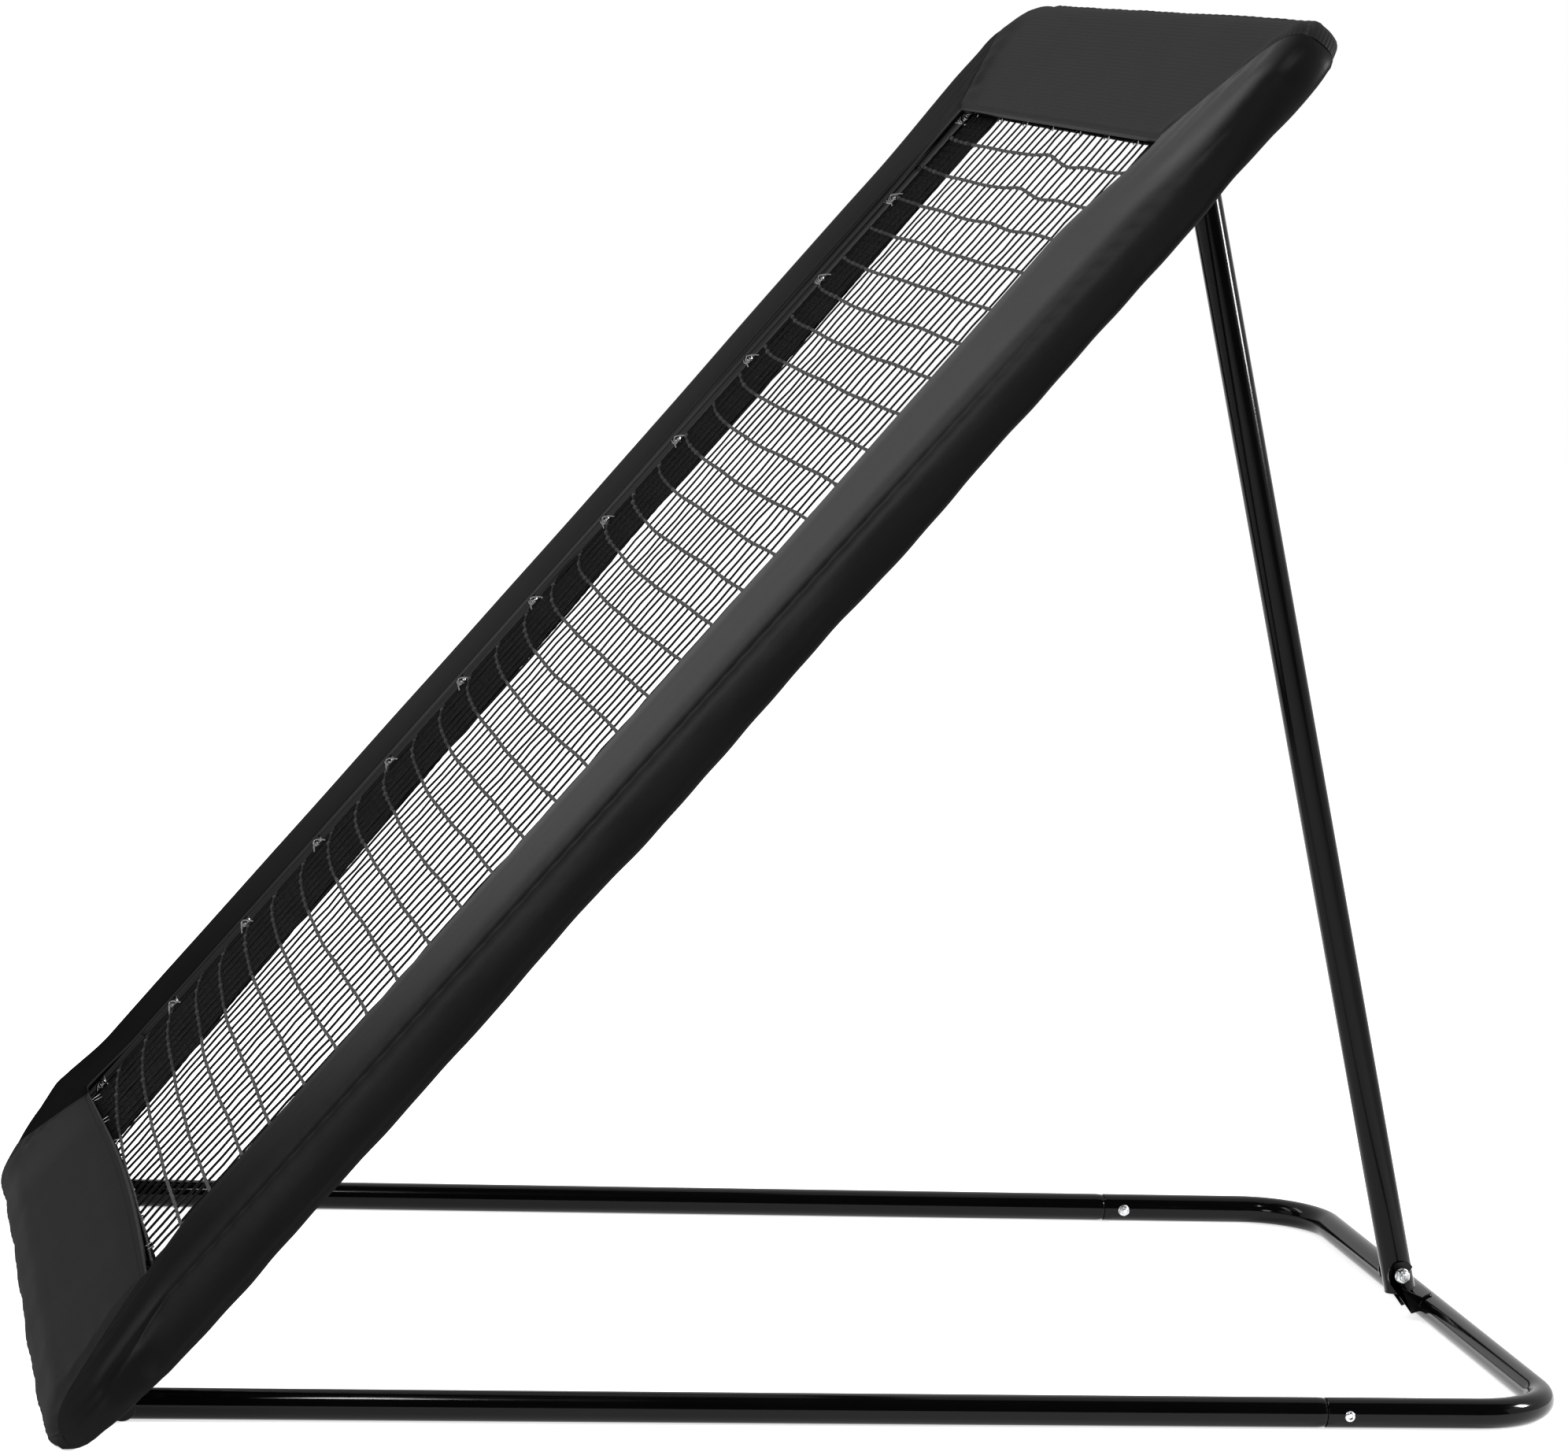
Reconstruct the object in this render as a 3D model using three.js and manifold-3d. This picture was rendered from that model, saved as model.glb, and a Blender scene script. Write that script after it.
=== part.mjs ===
// Pitch back rebounder: a spring-hung ball net in a padded steel frame that leans on one prop leg
// over a flat tube base. Millimetres, +Z up, X across the width, front towards -Y.
// The origin is on the ground, under the middle of the object.

import * as THREE from 'three';
import { mergeVertices } from 'three/addons/utils/BufferGeometryUtils.js';
import Module from 'manifold-3d';

const wasm = await Module();
wasm.setup();

// ---------------------------------------------------------------- driving dimensions

const seatGap = 0.3;              // left between two pieces that touch
const floorGap = 1.5;             // left under the soft pad where it meets the ground

const tubeRadius = 19;            // frame and base tube, 38 mm
const tubeWall = 1.5;
const legRadius = 21;             // prop leg, 42 mm
const tubeSides = 16;

const baseWidth = 1160;           // rail axis to rail axis
const baseLength = 1813;          // hinge axis to crossbar axis
const baseBend = 110;             // bend radius of the tube's axis
const baseArm = 312;              // crossbar axis to the swaged joints
const swageLength = 70;           // reduced rail end inside the arm
const swageShoulder = 14;         // length of the taper outside it
const boltFromJoint = 27;
const railOverhang = 12;          // rail beyond the hinge axis

const lean = 50.65;               // panel above the ground, degrees
const panelLength = 2153;         // bottom tube axis to top tube axis
const panelBeyondRail = 132;      // side tube axis outside the rail's, so the hinges sit on the straight tube
const panelBend = 70;             // corner bend of the panel's tubes
const panelArm = 250;             // end tube axis to the panel's swaged joints
const hingeAlong = 20;            // hinge axis from the bottom tube axis, along the panel
const hingeBehind = 42.5;         // and behind it

const legPivotBehind = 50;        // leg pivot behind the top tube axis
const legTopOverhang = 16;
const legFootOverhang = 24;
const footForward = 47;           // foot pivot in front of the crossbar axis
const footAbove = 46;             // and above it

const plate = 3;                  // steel of the brackets
const sideClearance = 0.6;        // tube to cheek, each side
const hingeCheekRadius = 17;
const legCheekRadius = 19;
const cheekTilt = 52;             // rear cheeks below the level, degrees

const smallBolt = { shank: 4, hole: 4.3, washer: 8, washerThick: 1.6, across: 13, nut: 6.8, head: 7, headHeight: 4.4 };
const largeBolt = { shank: 5, hole: 5.4, washer: 10, washerThick: 2, across: 17, nut: 8.4, head: 8.7, headHeight: 5.5 };

const netInset = 144;             // tube axis to the outer edge of the net's band, on all four sides
const netRise = 13;               // net and springs over the frame's middle plane
const bandWidth = 95;             // woven band down each side of the net
const endBand = 20;               // narrow band across its ends, under the pads
const netCord = 3;                // cord thickness, also the band's
const netColumns = 7;             // gaps across
const netRows = 11;               // gaps along

const sideSprings = 13;
const endSprings = 8;
const sideSpringMargin = 26.5;    // net's corner to its first side spring
const endSpringMargin = 39.5;     // and to its first end spring
const springWire = 1.3;           // wire radius
const springRadius = 6.5;         // coil radius to the wire's axis
const springCurls = 3;
const hookEdge = 5.2;             // band left outside each hook slot
const hookRise = 4.6;             // hook wire over the band's middle plane

const padWidth = 205;             // inner edge to outer edge of the pads
const padOverhang = 46;           // pad beyond the tube axis
const padTop = 38;                // crown over the frame's middle plane
const padUnder = 24;              // underside over the springs
const padSkirt = 24;              // skirt below the frame's middle plane
const padSkirtFront = 7;          // skirt of the bottom pad, above the ground
const padCorner = 76;             // plan radius of the outer corners
const padInnerCorner = 6;
const padMitreGap = 0.6;

// ---------------------------------------------------------------- derived places

const rad = THREE.MathUtils.degToRad;
const leanAngle = rad(lean);
const baseHeight = tubeRadius;
const railX = baseWidth / 2;
const sideX = railX + panelBeyondRail;
const netHalfWidth = sideX - netInset;
const boreRadius = tubeRadius - tubeWall;
const jointY = baseLength - baseArm;

// panel coordinates (x, along, out) have their origin on the bottom tube's axis
const along = new THREE.Vector2(Math.cos(leanAngle), Math.sin(leanAngle));
const out = new THREE.Vector2(-Math.sin(leanAngle), Math.cos(leanAngle));
const panelOrigin = new THREE.Vector2(0, baseHeight)
  .addScaledVector(along, -hingeAlong)
  .addScaledVector(out, hingeBehind);
const legTop = panelOrigin.clone()
  .addScaledVector(along, panelLength)
  .addScaledVector(out, -legPivotBehind);
const legFoot = new THREE.Vector2(baseLength - footForward, baseHeight + footAbove);
const legLength = legTop.distanceTo(legFoot);
const legAngle = Math.atan2(legFoot.y - legTop.y, legFoot.x - legTop.x);

const padHalfWidth = sideX + padOverhang;
const innerHalfWidth = padHalfWidth - padWidth;
const padLow = -padOverhang;
const padHigh = panelLength + padOverhang;
const innerLow = padLow + padWidth;
const innerHigh = padHigh - padWidth;
const netLow = netInset;
const netHigh = panelLength - netInset;

// ---------------------------------------------------------------- materials

const paint = new THREE.MeshStandardMaterial({ name: 'black_paint', color: 0x0b0b0c, roughness: 0.22, metalness: 0.1 });
const zinc = new THREE.MeshStandardMaterial({ name: 'zinc', color: 0xc4c7cb, roughness: 0.3, metalness: 1 });
const plastic = new THREE.MeshStandardMaterial({ name: 'black_plastic', color: 0x101011, roughness: 0.55, metalness: 0 });
const vinyl = new THREE.MeshStandardMaterial({ name: 'vinyl', color: 0x2b2b2c, roughness: 0.5, metalness: 0 });
const cordage = new THREE.MeshStandardMaterial({ name: 'net_cord', color: 0x161617, roughness: 0.8, metalness: 0 });

// ---------------------------------------------------------------- solids

function toSolid(geometry) {
  const bare = geometry.index ? geometry.toNonIndexed() : geometry.clone();
  bare.deleteAttribute('normal');
  bare.deleteAttribute('uv');
  const merged = mergeVertices(bare, 1e-4);
  return new wasm.Manifold(new wasm.Mesh({
    numProp: 3,
    vertProperties: new Float32Array(merged.attributes.position.array),
    triVerts: new Uint32Array(merged.index.array),
  }));
}

function fromSolid(solid) {
  const mesh = solid.getMesh();
  const geometry = new THREE.BufferGeometry();
  geometry.setAttribute('position', new THREE.BufferAttribute(new Float32Array(mesh.vertProperties), 3));
  geometry.setIndex(new THREE.BufferAttribute(new Uint32Array(mesh.triVerts), 1));
  geometry.computeVertexNormals();
  return geometry;
}

function cut(body, ...tools) {
  return tools.reduce((solid, tool) => solid.subtract(toSolid(tool)), body);
}

function join(body, ...others) {
  return others.reduce((solid, other) => solid.add(toSolid(other)), body);
}

// a round bar from start to end; flats face the axes, so the lowest facet lies flat
function bar(start, end, radius, sides = tubeSides) {
  const run = end.clone().sub(start);
  const geometry = new THREE.CylinderGeometry(radius, radius, run.length(), sides);
  geometry.rotateY(Math.PI / sides);
  geometry.applyQuaternion(new THREE.Quaternion().setFromUnitVectors(new THREE.Vector3(0, 1, 0), run.clone().normalize()));
  const middle = start.clone().add(end).multiplyScalar(0.5);
  geometry.translate(middle.x, middle.y, middle.z);
  return geometry;
}

// a turned piece: profile of [radius, height] pairs, round the line from start towards end
function turned(profile, start, direction, sides = tubeSides) {
  const geometry = new THREE.LatheGeometry(profile.map(([r, h]) => new THREE.Vector2(r, h)), sides, Math.PI / sides);
  geometry.applyQuaternion(new THREE.Quaternion().setFromUnitVectors(new THREE.Vector3(0, 1, 0), direction));
  geometry.translate(start.x, start.y, start.z);
  return geometry;
}

// a closed sweep through a list of rings that all have the same number of points
function skin(rings, capTriangles) {
  const size = rings[0].length;
  const positions = rings.flat().flatMap((p) => [p.x, p.y, p.z]);
  const index = [];
  for (let k = 0; k < rings.length - 1; k += 1) {
    for (let i = 0; i < size; i += 1) {
      const a = k * size + i;
      const b = k * size + ((i + 1) % size);
      index.push(a, b, b + size, a, b + size, a + size);
    }
  }
  const last = (rings.length - 1) * size;
  for (const [a, b, c] of capTriangles) {
    index.push(a, c, b, last + a, last + b, last + c);
  }
  const geometry = new THREE.BufferGeometry();
  geometry.setAttribute('position', new THREE.Float32BufferAttribute(positions, 3));
  geometry.setIndex(index);
  geometry.computeVertexNormals();
  return geometry;
}

// turns a closed skin's faces outwards, whichever way its rings run
function outward(geometry) {
  const p = geometry.attributes.position;
  const a = new THREE.Vector3();
  const b = new THREE.Vector3();
  const c = new THREE.Vector3();
  let volume = 0;
  for (let i = 0; i < geometry.index.count; i += 3) {
    a.fromBufferAttribute(p, geometry.index.getX(i));
    b.fromBufferAttribute(p, geometry.index.getX(i + 1));
    c.fromBufferAttribute(p, geometry.index.getX(i + 2));
    volume += a.dot(b.cross(c));
  }
  if (volume < 0) {
    const flipped = Array.from(geometry.index.array);
    for (let i = 0; i < flipped.length; i += 3) [flipped[i + 1], flipped[i + 2]] = [flipped[i + 2], flipped[i + 1]];
    geometry.setIndex(flipped);
    geometry.computeVertexNormals();
  }
  return geometry;
}

function fan(size) {
  return Array.from({ length: size - 2 }, (_, i) => [0, i + 1, i + 2]);
}

// a round bar of few sides along a list of points, carried without twist; one radius, or one a point
function wire(points, radius, sides) {
  const rings = [];
  let side = null;
  points.forEach((point, i) => {
    const before = points[Math.max(i - 1, 0)];
    const after = points[Math.min(i + 1, points.length - 1)];
    const tangent = after.clone().sub(before).normalize();
    if (!side) {
      side = Math.abs(tangent.y) < 0.9 ? new THREE.Vector3(0, 1, 0) : new THREE.Vector3(0, 0, 1);
    }
    side.addScaledVector(tangent, -side.dot(tangent)).normalize();
    const other = tangent.clone().cross(side);
    const round = [];
    const r = Array.isArray(radius) ? radius[i] : radius;
    for (let k = 0; k < sides; k += 1) {
      const angle = (2 * Math.PI * k) / sides;
      round.push(point.clone()
        .addScaledVector(side, r * Math.cos(angle))
        .addScaledVector(other, r * Math.sin(angle)));
    }
    rings.push(round);
  });
  return outward(skin(rings, fan(sides)));
}

// ---------------------------------------------------------------- scene graph

const rebounder = new THREE.Group();
const base = new THREE.Group();
const panel = new THREE.Group();
const leg = new THREE.Group();
rebounder.add(base, panel, leg);
panel.position.set(0, panelOrigin.x, panelOrigin.y);
panel.rotation.x = leanAngle;
leg.position.set(0, legTop.x, legTop.y);
leg.rotation.x = legAngle;        // the leg's own +Y runs from its top pivot to its foot pivot

function place(group, name, shape, material) {
  const geometry = shape instanceof THREE.BufferGeometry ? shape : fromSolid(shape);
  const mesh = new THREE.Mesh(geometry, material.clone());
  mesh.name = name;
  group.add(mesh);
  return mesh;
}

// ---------------------------------------------------------------- tubes

const V = (x, y, z) => new THREE.Vector3(x, y, z);

const bendSteps = 5;
const openEnd = 1;                                   // cutters pass this far through an end

// a U with round corners: two arms along Y, open at armEnd, joined by a bar along X at barY
function uTube(halfWidth, armEnd, barY, bend, radius) {
  const toward = Math.sign(barY - armEnd);
  const turn = (sx, i) => {
    const angle = (Math.PI / 2) * (i / bendSteps);
    return V(sx * (halfWidth - bend + bend * Math.cos(angle)), barY - toward * bend * (1 - Math.sin(angle)), 0);
  };
  const points = [V(-halfWidth, armEnd, 0)];
  for (let i = 0; i <= bendSteps; i += 1) points.push(turn(-1, i));
  for (let i = bendSteps; i >= 0; i -= 1) points.push(turn(1, i));
  points.push(V(halfWidth, armEnd, 0));
  return outward(planarTube(points, radius));
}

function hollowU(halfWidth, armEnd, barY, bend) {
  const past = armEnd - Math.sign(barY - armEnd) * openEnd;
  return cut(toSolid(uTube(halfWidth, armEnd, barY, bend, tubeOut)), uTube(halfWidth, past, barY, bend, tubeIn));
}

// a tube along points in the XY plane, with mitred rings and its flats facing Z
function planarTube(points, radius) {
  const rings = points.map((point, i) => {
    const before = points[Math.max(i - 1, 0)];
    const after = points[Math.min(i + 1, points.length - 1)];
    const tangent = point.clone().sub(before).normalize().add(after.clone().sub(point).normalize()).normalize();
    const half = i === 0 || i === points.length - 1 ? 0 : tangent.angleTo(after.clone().sub(point));
    const sideways = V(-tangent.y, tangent.x, 0).multiplyScalar(1 / Math.cos(half));
    return Array.from({ length: tubeSides }, (_, k) => {
      const angle = (2 * Math.PI * (k + 0.5)) / tubeSides;
      return point.clone().addScaledVector(sideways, radius * Math.cos(angle)).add(V(0, 0, radius * Math.sin(angle)));
    });
  });
  return skin(rings, fan(tubeSides));
}

const corner = 1 / Math.cos(Math.PI / tubeSides);    // circle through the corners of a tube's flats
const tubeOut = tubeRadius * corner;
const tubeIn = boreRadius * corner;
const swageOut = (boreRadius - seatGap) * corner;
const swageIn = swageOut - tubeWall;
const legOut = legRadius * corner;
const legIn = legOut - tubeWall;

// a straight tube along +Y with swaged ends where asked
function swagedTube(length, swageAtStart, swageAtEnd) {
  const outer = [];
  const inner = [];
  if (swageAtStart) {
    outer.push([swageOut, -swageLength], [swageOut, 0], [tubeOut, swageShoulder]);
    inner.push([swageIn, -swageLength], [swageIn, 0], [tubeIn, swageShoulder]);
  } else {
    outer.push([tubeOut, 0]);
    inner.push([tubeIn, 0]);
  }
  if (swageAtEnd) {
    outer.push([tubeOut, length - swageShoulder], [swageOut, length], [swageOut, length + swageLength]);
    inner.push([tubeIn, length - swageShoulder], [swageIn, length], [swageIn, length + swageLength]);
  } else {
    outer.push([tubeOut, length]);
    inner.push([tubeIn, length]);
  }
  return [...outer, ...inner.reverse(), outer[0]];
}

// ---------------------------------------------------------------- bolts

const boltSides = 8;

// hex nut on a washer, with the bolt's end standing out of it
function nutAndWasher(size, gap) {
  const hexRadius = size.across / 2 / Math.cos(Math.PI / 6);
  const washer = turned([[0, 0], [size.washer, 0], [size.washer, size.washerThick], [0, size.washerThick]], V(0, 0, 0), V(1, 0, 0), boltSides);
  const hex = new THREE.CylinderGeometry(hexRadius, hexRadius, size.nut * 0.75, 6);
  hex.rotateZ(-Math.PI / 2);
  hex.translate(size.washerThick + size.nut * 0.375, 0, 0);
  const collar = turned([[0, 0], [size.across / 2 - 0.4, 0], [size.across / 2 - 1.4, size.nut * 0.35], [0, size.nut * 0.35]],
    V(size.washerThick + size.nut * 0.7, 0, 0), V(1, 0, 0), boltSides);
  const hole = bar(V(-openEnd, 0, 0), V(size.washerThick + size.nut * 1.2, 0, 0), size.shank + gap, boltSides);
  return cut(join(toSolid(washer), hex, collar), hole);
}

// button-head bolt: head at -X, shank along +X
function boltSolid(size, grip) {
  const socketRadius = size.head * 0.42;
  const end = grip + size.washerThick + size.nut + 1.5;
  const profile = [[0, -size.headHeight], [size.head * 0.62, -size.headHeight], [size.head * 0.9, -size.headHeight * 0.6],
    [size.head, 0], [size.shank, 0], [size.shank, end - 1], [size.shank - 1, end], [0, end]];
  const body = turned(profile, V(0, 0, 0), V(1, 0, 0), boltSides);
  const key = new THREE.CylinderGeometry(socketRadius, socketRadius, size.headHeight, 6);
  key.rotateZ(-Math.PI / 2);
  key.translate(-size.headHeight, 0, 0);
  return cut(toSolid(body), key);
}

// bolt and nut across the X range low..high, at (y, z) of a group; the head is on the side given
function addBolt(group, name, size, low, high, y, z, headSide) {
  const bolt = boltSolid(size, high - low + 2 * seatGap);
  const nut = nutAndWasher(size, seatGap);
  const headX = headSide < 0 ? low - seatGap : high + seatGap;
  const nutX = headSide < 0 ? high + seatGap : low - seatGap;
  const boltMesh = place(group, `${name}_bolt`, bolt, zinc);
  boltMesh.position.set(headX, y, z);
  const nutMesh = place(group, `${name}_nut`, nut, zinc);
  nutMesh.position.set(nutX, y, z);
  if (headSide > 0) {
    boltMesh.rotation.z = Math.PI;
    nutMesh.rotation.z = Math.PI;
  }
}

// ---------------------------------------------------------------- base

const holeSides = 8;
const holeFit = 1 / Math.cos(Math.PI / holeSides);   // so that the flats clear the shank
const sides = [['left', -1], ['right', 1]];

let rearSolid = hollowU(railX, jointY, baseLength, baseBend);
for (const [, sx] of sides) {
  rearSolid = cut(rearSolid,
    bar(V(sx * railX - 2 * tubeRadius, jointY + boltFromJoint, 0), V(sx * railX + 2 * tubeRadius, jointY + boltFromJoint, 0),
      smallBolt.hole * holeFit, holeSides));
}
place(base, 'rear_u_tube', rearSolid, paint).position.z = baseHeight;

for (const [side, sx] of sides) {
  const railStart = -railOverhang;
  const railLength = jointY - seatGap - railStart;
  const rail = turned(swagedTube(railLength, false, true), V(0, railStart, 0), V(0, 1, 0));
  const across = (y) => bar(V(-2 * tubeRadius, y, 0), V(2 * tubeRadius, y, 0), smallBolt.hole * holeFit, holeSides);
  const solid = cut(toSolid(rail), across(0), across(jointY + boltFromJoint));
  place(base, `${side}_rail`, solid, paint).position.set(sx * railX, 0, baseHeight);

  const plugRadius = boreRadius * corner - seatGap;
  const cap = turned([[0, 0], [tubeOut - 0.6, 0], [tubeOut, 0.8], [tubeOut, 1.7], [plugRadius, 1.7], [plugRadius, 6], [0, 6]],
    V(0, railStart - 2, 0), V(0, 1, 0));
  place(base, `${side}_rail_cap`, toSolid(cap), plastic).position.set(sx * railX, 0, baseHeight);
  addBolt(base, `${side}_joint`, smallBolt, sx * railX - tubeRadius, sx * railX + tubeRadius, jointY + boltFromJoint, baseHeight, sx);
}

// ---------------------------------------------------------------- brackets

// two cheeks joined by a curved web that is welded round a tube at the origin; the pin's axis is at
// (pinY, pinZ), the cheeks stand at x = +-(gap / 2) and end in a round of cheekRadius about the pin
function clevis({ gap, pinY, pinZ, cheekRadius, direction, seatRadius, holeRadius, slotDirection }) {
  const tubeHole = seatRadius + seatGap;
  const webOut = tubeHole + plate;
  const pinAngle = Math.atan2(pinZ, pinY);
  const run = Math.hypot(pinY, pinZ);
  const outline = new THREE.Shape();
  const back = direction ?? new THREE.Vector2(-Math.cos(pinAngle), -Math.sin(pinAngle));
  const across = new THREE.Vector2(-back.y, back.x);
  const pin = new THREE.Vector2(pinY, pinZ);
  const startAngle = Math.atan2(across.y, across.x);
  const roundSteps = 10;
  const points = [];
  for (let i = 0; i <= roundSteps; i += 1) {
    const angle = startAngle + (Math.PI * i) / roundSteps;
    points.push(pin.clone().add(new THREE.Vector2(Math.cos(angle), Math.sin(angle)).multiplyScalar(cheekRadius)));
  }
  points.push(pin.clone().addScaledVector(across, -cheekRadius).addScaledVector(back, run));
  points.push(pin.clone().addScaledVector(across, cheekRadius).addScaledVector(back, run));
  outline.setFromPoints(points);
  const toYZ = new THREE.Matrix4().makeBasis(V(0, 1, 0), V(0, 0, 1), V(1, 0, 0));
  const cheekAt = (x) => {
    const cheek = new THREE.ExtrudeGeometry(outline, { depth: plate, bevelEnabled: false });
    cheek.applyMatrix4(toYZ);
    cheek.translate(x, 0, 0);
    return cheek;
  };
  const webWidth = gap + 2 * plate;
  const span = Math.asin(Math.min(1, cheekRadius / webOut));
  const webSteps = 6;
  const web = new THREE.Shape();
  for (let i = 0; i <= webSteps; i += 1) {
    const angle = pinAngle - span + (2 * span * i) / webSteps;
    const p = [webOut * Math.cos(angle), webOut * Math.sin(angle)];
    if (i === 0) web.moveTo(...p); else web.lineTo(...p);
  }
  for (let i = webSteps; i >= 0; i -= 1) {
    const angle = pinAngle - span + (2 * span * i) / webSteps;
    web.lineTo((tubeHole - 2) * Math.cos(angle), (tubeHole - 2) * Math.sin(angle));
  }
  web.closePath();
  const webSolid = new THREE.ExtrudeGeometry(web, { depth: webWidth, bevelEnabled: false });
  webSolid.applyMatrix4(toYZ);
  webSolid.translate(-webWidth / 2, 0, 0);
  let solid = join(toSolid(cheekAt(gap / 2)), cheekAt(-gap / 2 - plate), webSolid);
  const reach = webWidth;
  solid = cut(solid,
    bar(V(-reach, 0, 0), V(reach, 0, 0), tubeHole * corner),
    bar(V(-reach, pinY, pinZ), V(reach, pinY, pinZ), holeRadius * holeFit, holeSides));
  if (slotDirection) {
    const slot = new THREE.BoxGeometry(2 * reach, 2 * holeRadius, 2 * cheekRadius);
    slot.translate(0, 0, cheekRadius);
    slot.rotateX(Math.atan2(slotDirection.y, slotDirection.x) - Math.PI / 2);
    slot.translate(0, pinY, pinZ);
    solid = cut(solid, slot);
  }
  return solid;
}

// the foot pin leaves its cheeks forwards and down as the frame folds, so their holes are open slots
const footSlot = new THREE.Vector2(-0.625, -0.781);
const legGap = 2 * (legRadius + sideClearance);
place(base, 'rear_leg_bracket', clevis({
  gap: legGap,
  pinY: -footForward,
  pinZ: footAbove,
  cheekRadius: legCheekRadius,
  direction: new THREE.Vector2(Math.cos(rad(cheekTilt)), -Math.sin(rad(cheekTilt))),
  seatRadius: tubeRadius,
  holeRadius: largeBolt.hole,
  slotDirection: footSlot,
}), paint).position.set(0, baseLength, baseHeight);

const railGap = 2 * (tubeRadius + sideClearance);
for (const [side, sx] of sides) {
  place(panel, `${side}_hinge_bracket`, clevis({
    gap: railGap,
    pinY: hingeAlong,
    pinZ: -hingeBehind,
    cheekRadius: hingeCheekRadius,
    seatRadius: tubeRadius,
    holeRadius: smallBolt.hole,
  }), paint).position.set(sx * railX, 0, 0);
  const cheekOut = railGap / 2 + plate;
  addBolt(panel, `${side}_hinge`, smallBolt, sx * railX - cheekOut, sx * railX + cheekOut, hingeAlong, -hingeBehind, sx);
}

place(panel, 'leg_top_bracket', clevis({
  gap: legGap,
  pinY: 0,
  pinZ: -legPivotBehind,
  cheekRadius: legCheekRadius,
  seatRadius: tubeRadius,
  holeRadius: largeBolt.hole,
}), paint).position.set(0, panelLength, 0);
const legCheekOut = legGap / 2 + plate;
addBolt(panel, 'top_pivot', largeBolt, -legCheekOut, legCheekOut, panelLength, -legPivotBehind, -1);

// ---------------------------------------------------------------- leg

const legTube = turned([[legOut, -legTopOverhang], [legOut, legLength + legFootOverhang], [legIn, legLength + legFootOverhang],
  [legIn, -legTopOverhang], [legOut, -legTopOverhang]], V(0, 0, 0), V(0, 1, 0));
const legHole = (y) => bar(V(-2 * legRadius, y, 0), V(2 * legRadius, y, 0), largeBolt.hole * holeFit, holeSides);
place(leg, 'leg_tube', cut(toSolid(legTube), legHole(0), legHole(legLength)), paint);
addBolt(leg, 'foot', largeBolt, -legCheekOut, legCheekOut, legLength, 0, -1);

const legPlug = (rim) => [[0, 0], [legOut - 0.6, 0], [legOut, 0.8], [legOut, 1.7], [legIn - seatGap, 1.7], [legIn - seatGap, rim], [0, rim]];
const plugDepth = 8;
place(leg, 'leg_foot_plug', toSolid(turned(legPlug(plugDepth), V(0, legLength + legFootOverhang + 2, 0), V(0, -1, 0))), plastic);
place(leg, 'leg_top_plug', toSolid(turned(legPlug(plugDepth), V(0, -legTopOverhang - 2, 0), V(0, 1, 0))), plastic);

// ---------------------------------------------------------------- springs

const coilStart = tubeRadius + 9;
const slotAt = netInset + hookEdge + springWire + 0.4;   // tube axis to the hook's wire in its slot
// where a wire at the net's height passes the tube's bore
const boreAt = Math.sqrt(boreRadius ** 2 - netRise ** 2);

// an extension spring in its own frame: x from the tube's axis towards the net, z out of the panel
function springPoints(curls) {
  const inner = boreAt - 4;
  const points = [V(inner - 1, 0, -6.4), V(inner - 0.6, 0, -2.6), V(inner + 2, 0, 0), V(coilStart - 3, 0, 0)];
  const coilEnd = netInset - 28;
  const steps = 5;
  for (let i = 0; i <= curls * steps; i += 1) {
    const angle = (2 * Math.PI * i) / steps;
    const x = coilStart + ((coilEnd - coilStart) * i) / (curls * steps);
    points.push(V(x, springRadius * Math.sin(angle), springRadius * Math.cos(angle)));
  }
  points.push(V(coilEnd + 8, 0, hookRise), V(slotAt - 4, 0, hookRise + 0.6), V(slotAt, 0, hookRise - 2.4),
    V(slotAt, 0, -hookRise + 1), V(slotAt - 4.5, 0, -hookRise - 1.6));
  return points;
}

// least clear gap between stretches of a wire that are more than a few wire widths apart along it
function leastGap(points, radius) {
  const samples = [];
  let travelled = 0;
  for (let i = 1; i < points.length; i += 1) {
    const length = points[i].distanceTo(points[i - 1]);
    const pieces = Math.ceil(length / 0.5);
    for (let k = 0; k < pieces; k += 1) {
      samples.push([points[i - 1].clone().lerp(points[i], k / pieces), travelled + (length * k) / pieces]);
    }
    travelled += length;
  }
  let least = Infinity;
  for (const [p, at] of samples) {
    for (const [q, further] of samples) {
      if (further - at > 8 * radius) least = Math.min(least, p.distanceTo(q) - 2 * radius);
    }
  }
  return least;
}

const wireSides = 4;
const springLine = springPoints(springCurls);
const springGeometry = wire(springLine, springWire, wireSides);
console.log(`least gap of a side spring to itself: ${leastGap(springLine, springWire).toFixed(2)} mm`);

function springPlaces(count, first, last) {
  return Array.from({ length: count }, (_, i) => first + ((last - first) * i) / (count - 1));
}
const sidePlaces = springPlaces(sideSprings, netLow + sideSpringMargin, netHigh - sideSpringMargin);
const endPlaces = springPlaces(endSprings, endSpringMargin - netHalfWidth, netHalfWidth - endSpringMargin);
for (const [side, sx] of sides) {
  sidePlaces.forEach((y, i) => {
    const mesh = place(panel, `${side}_spring_${String(i + 1).padStart(2, '0')}`, springGeometry, zinc);
    mesh.position.set(sx * sideX, y, netRise);
    if (sx > 0) mesh.rotation.z = Math.PI;
  });
}

// ---------------------------------------------------------------- panel frame

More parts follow.
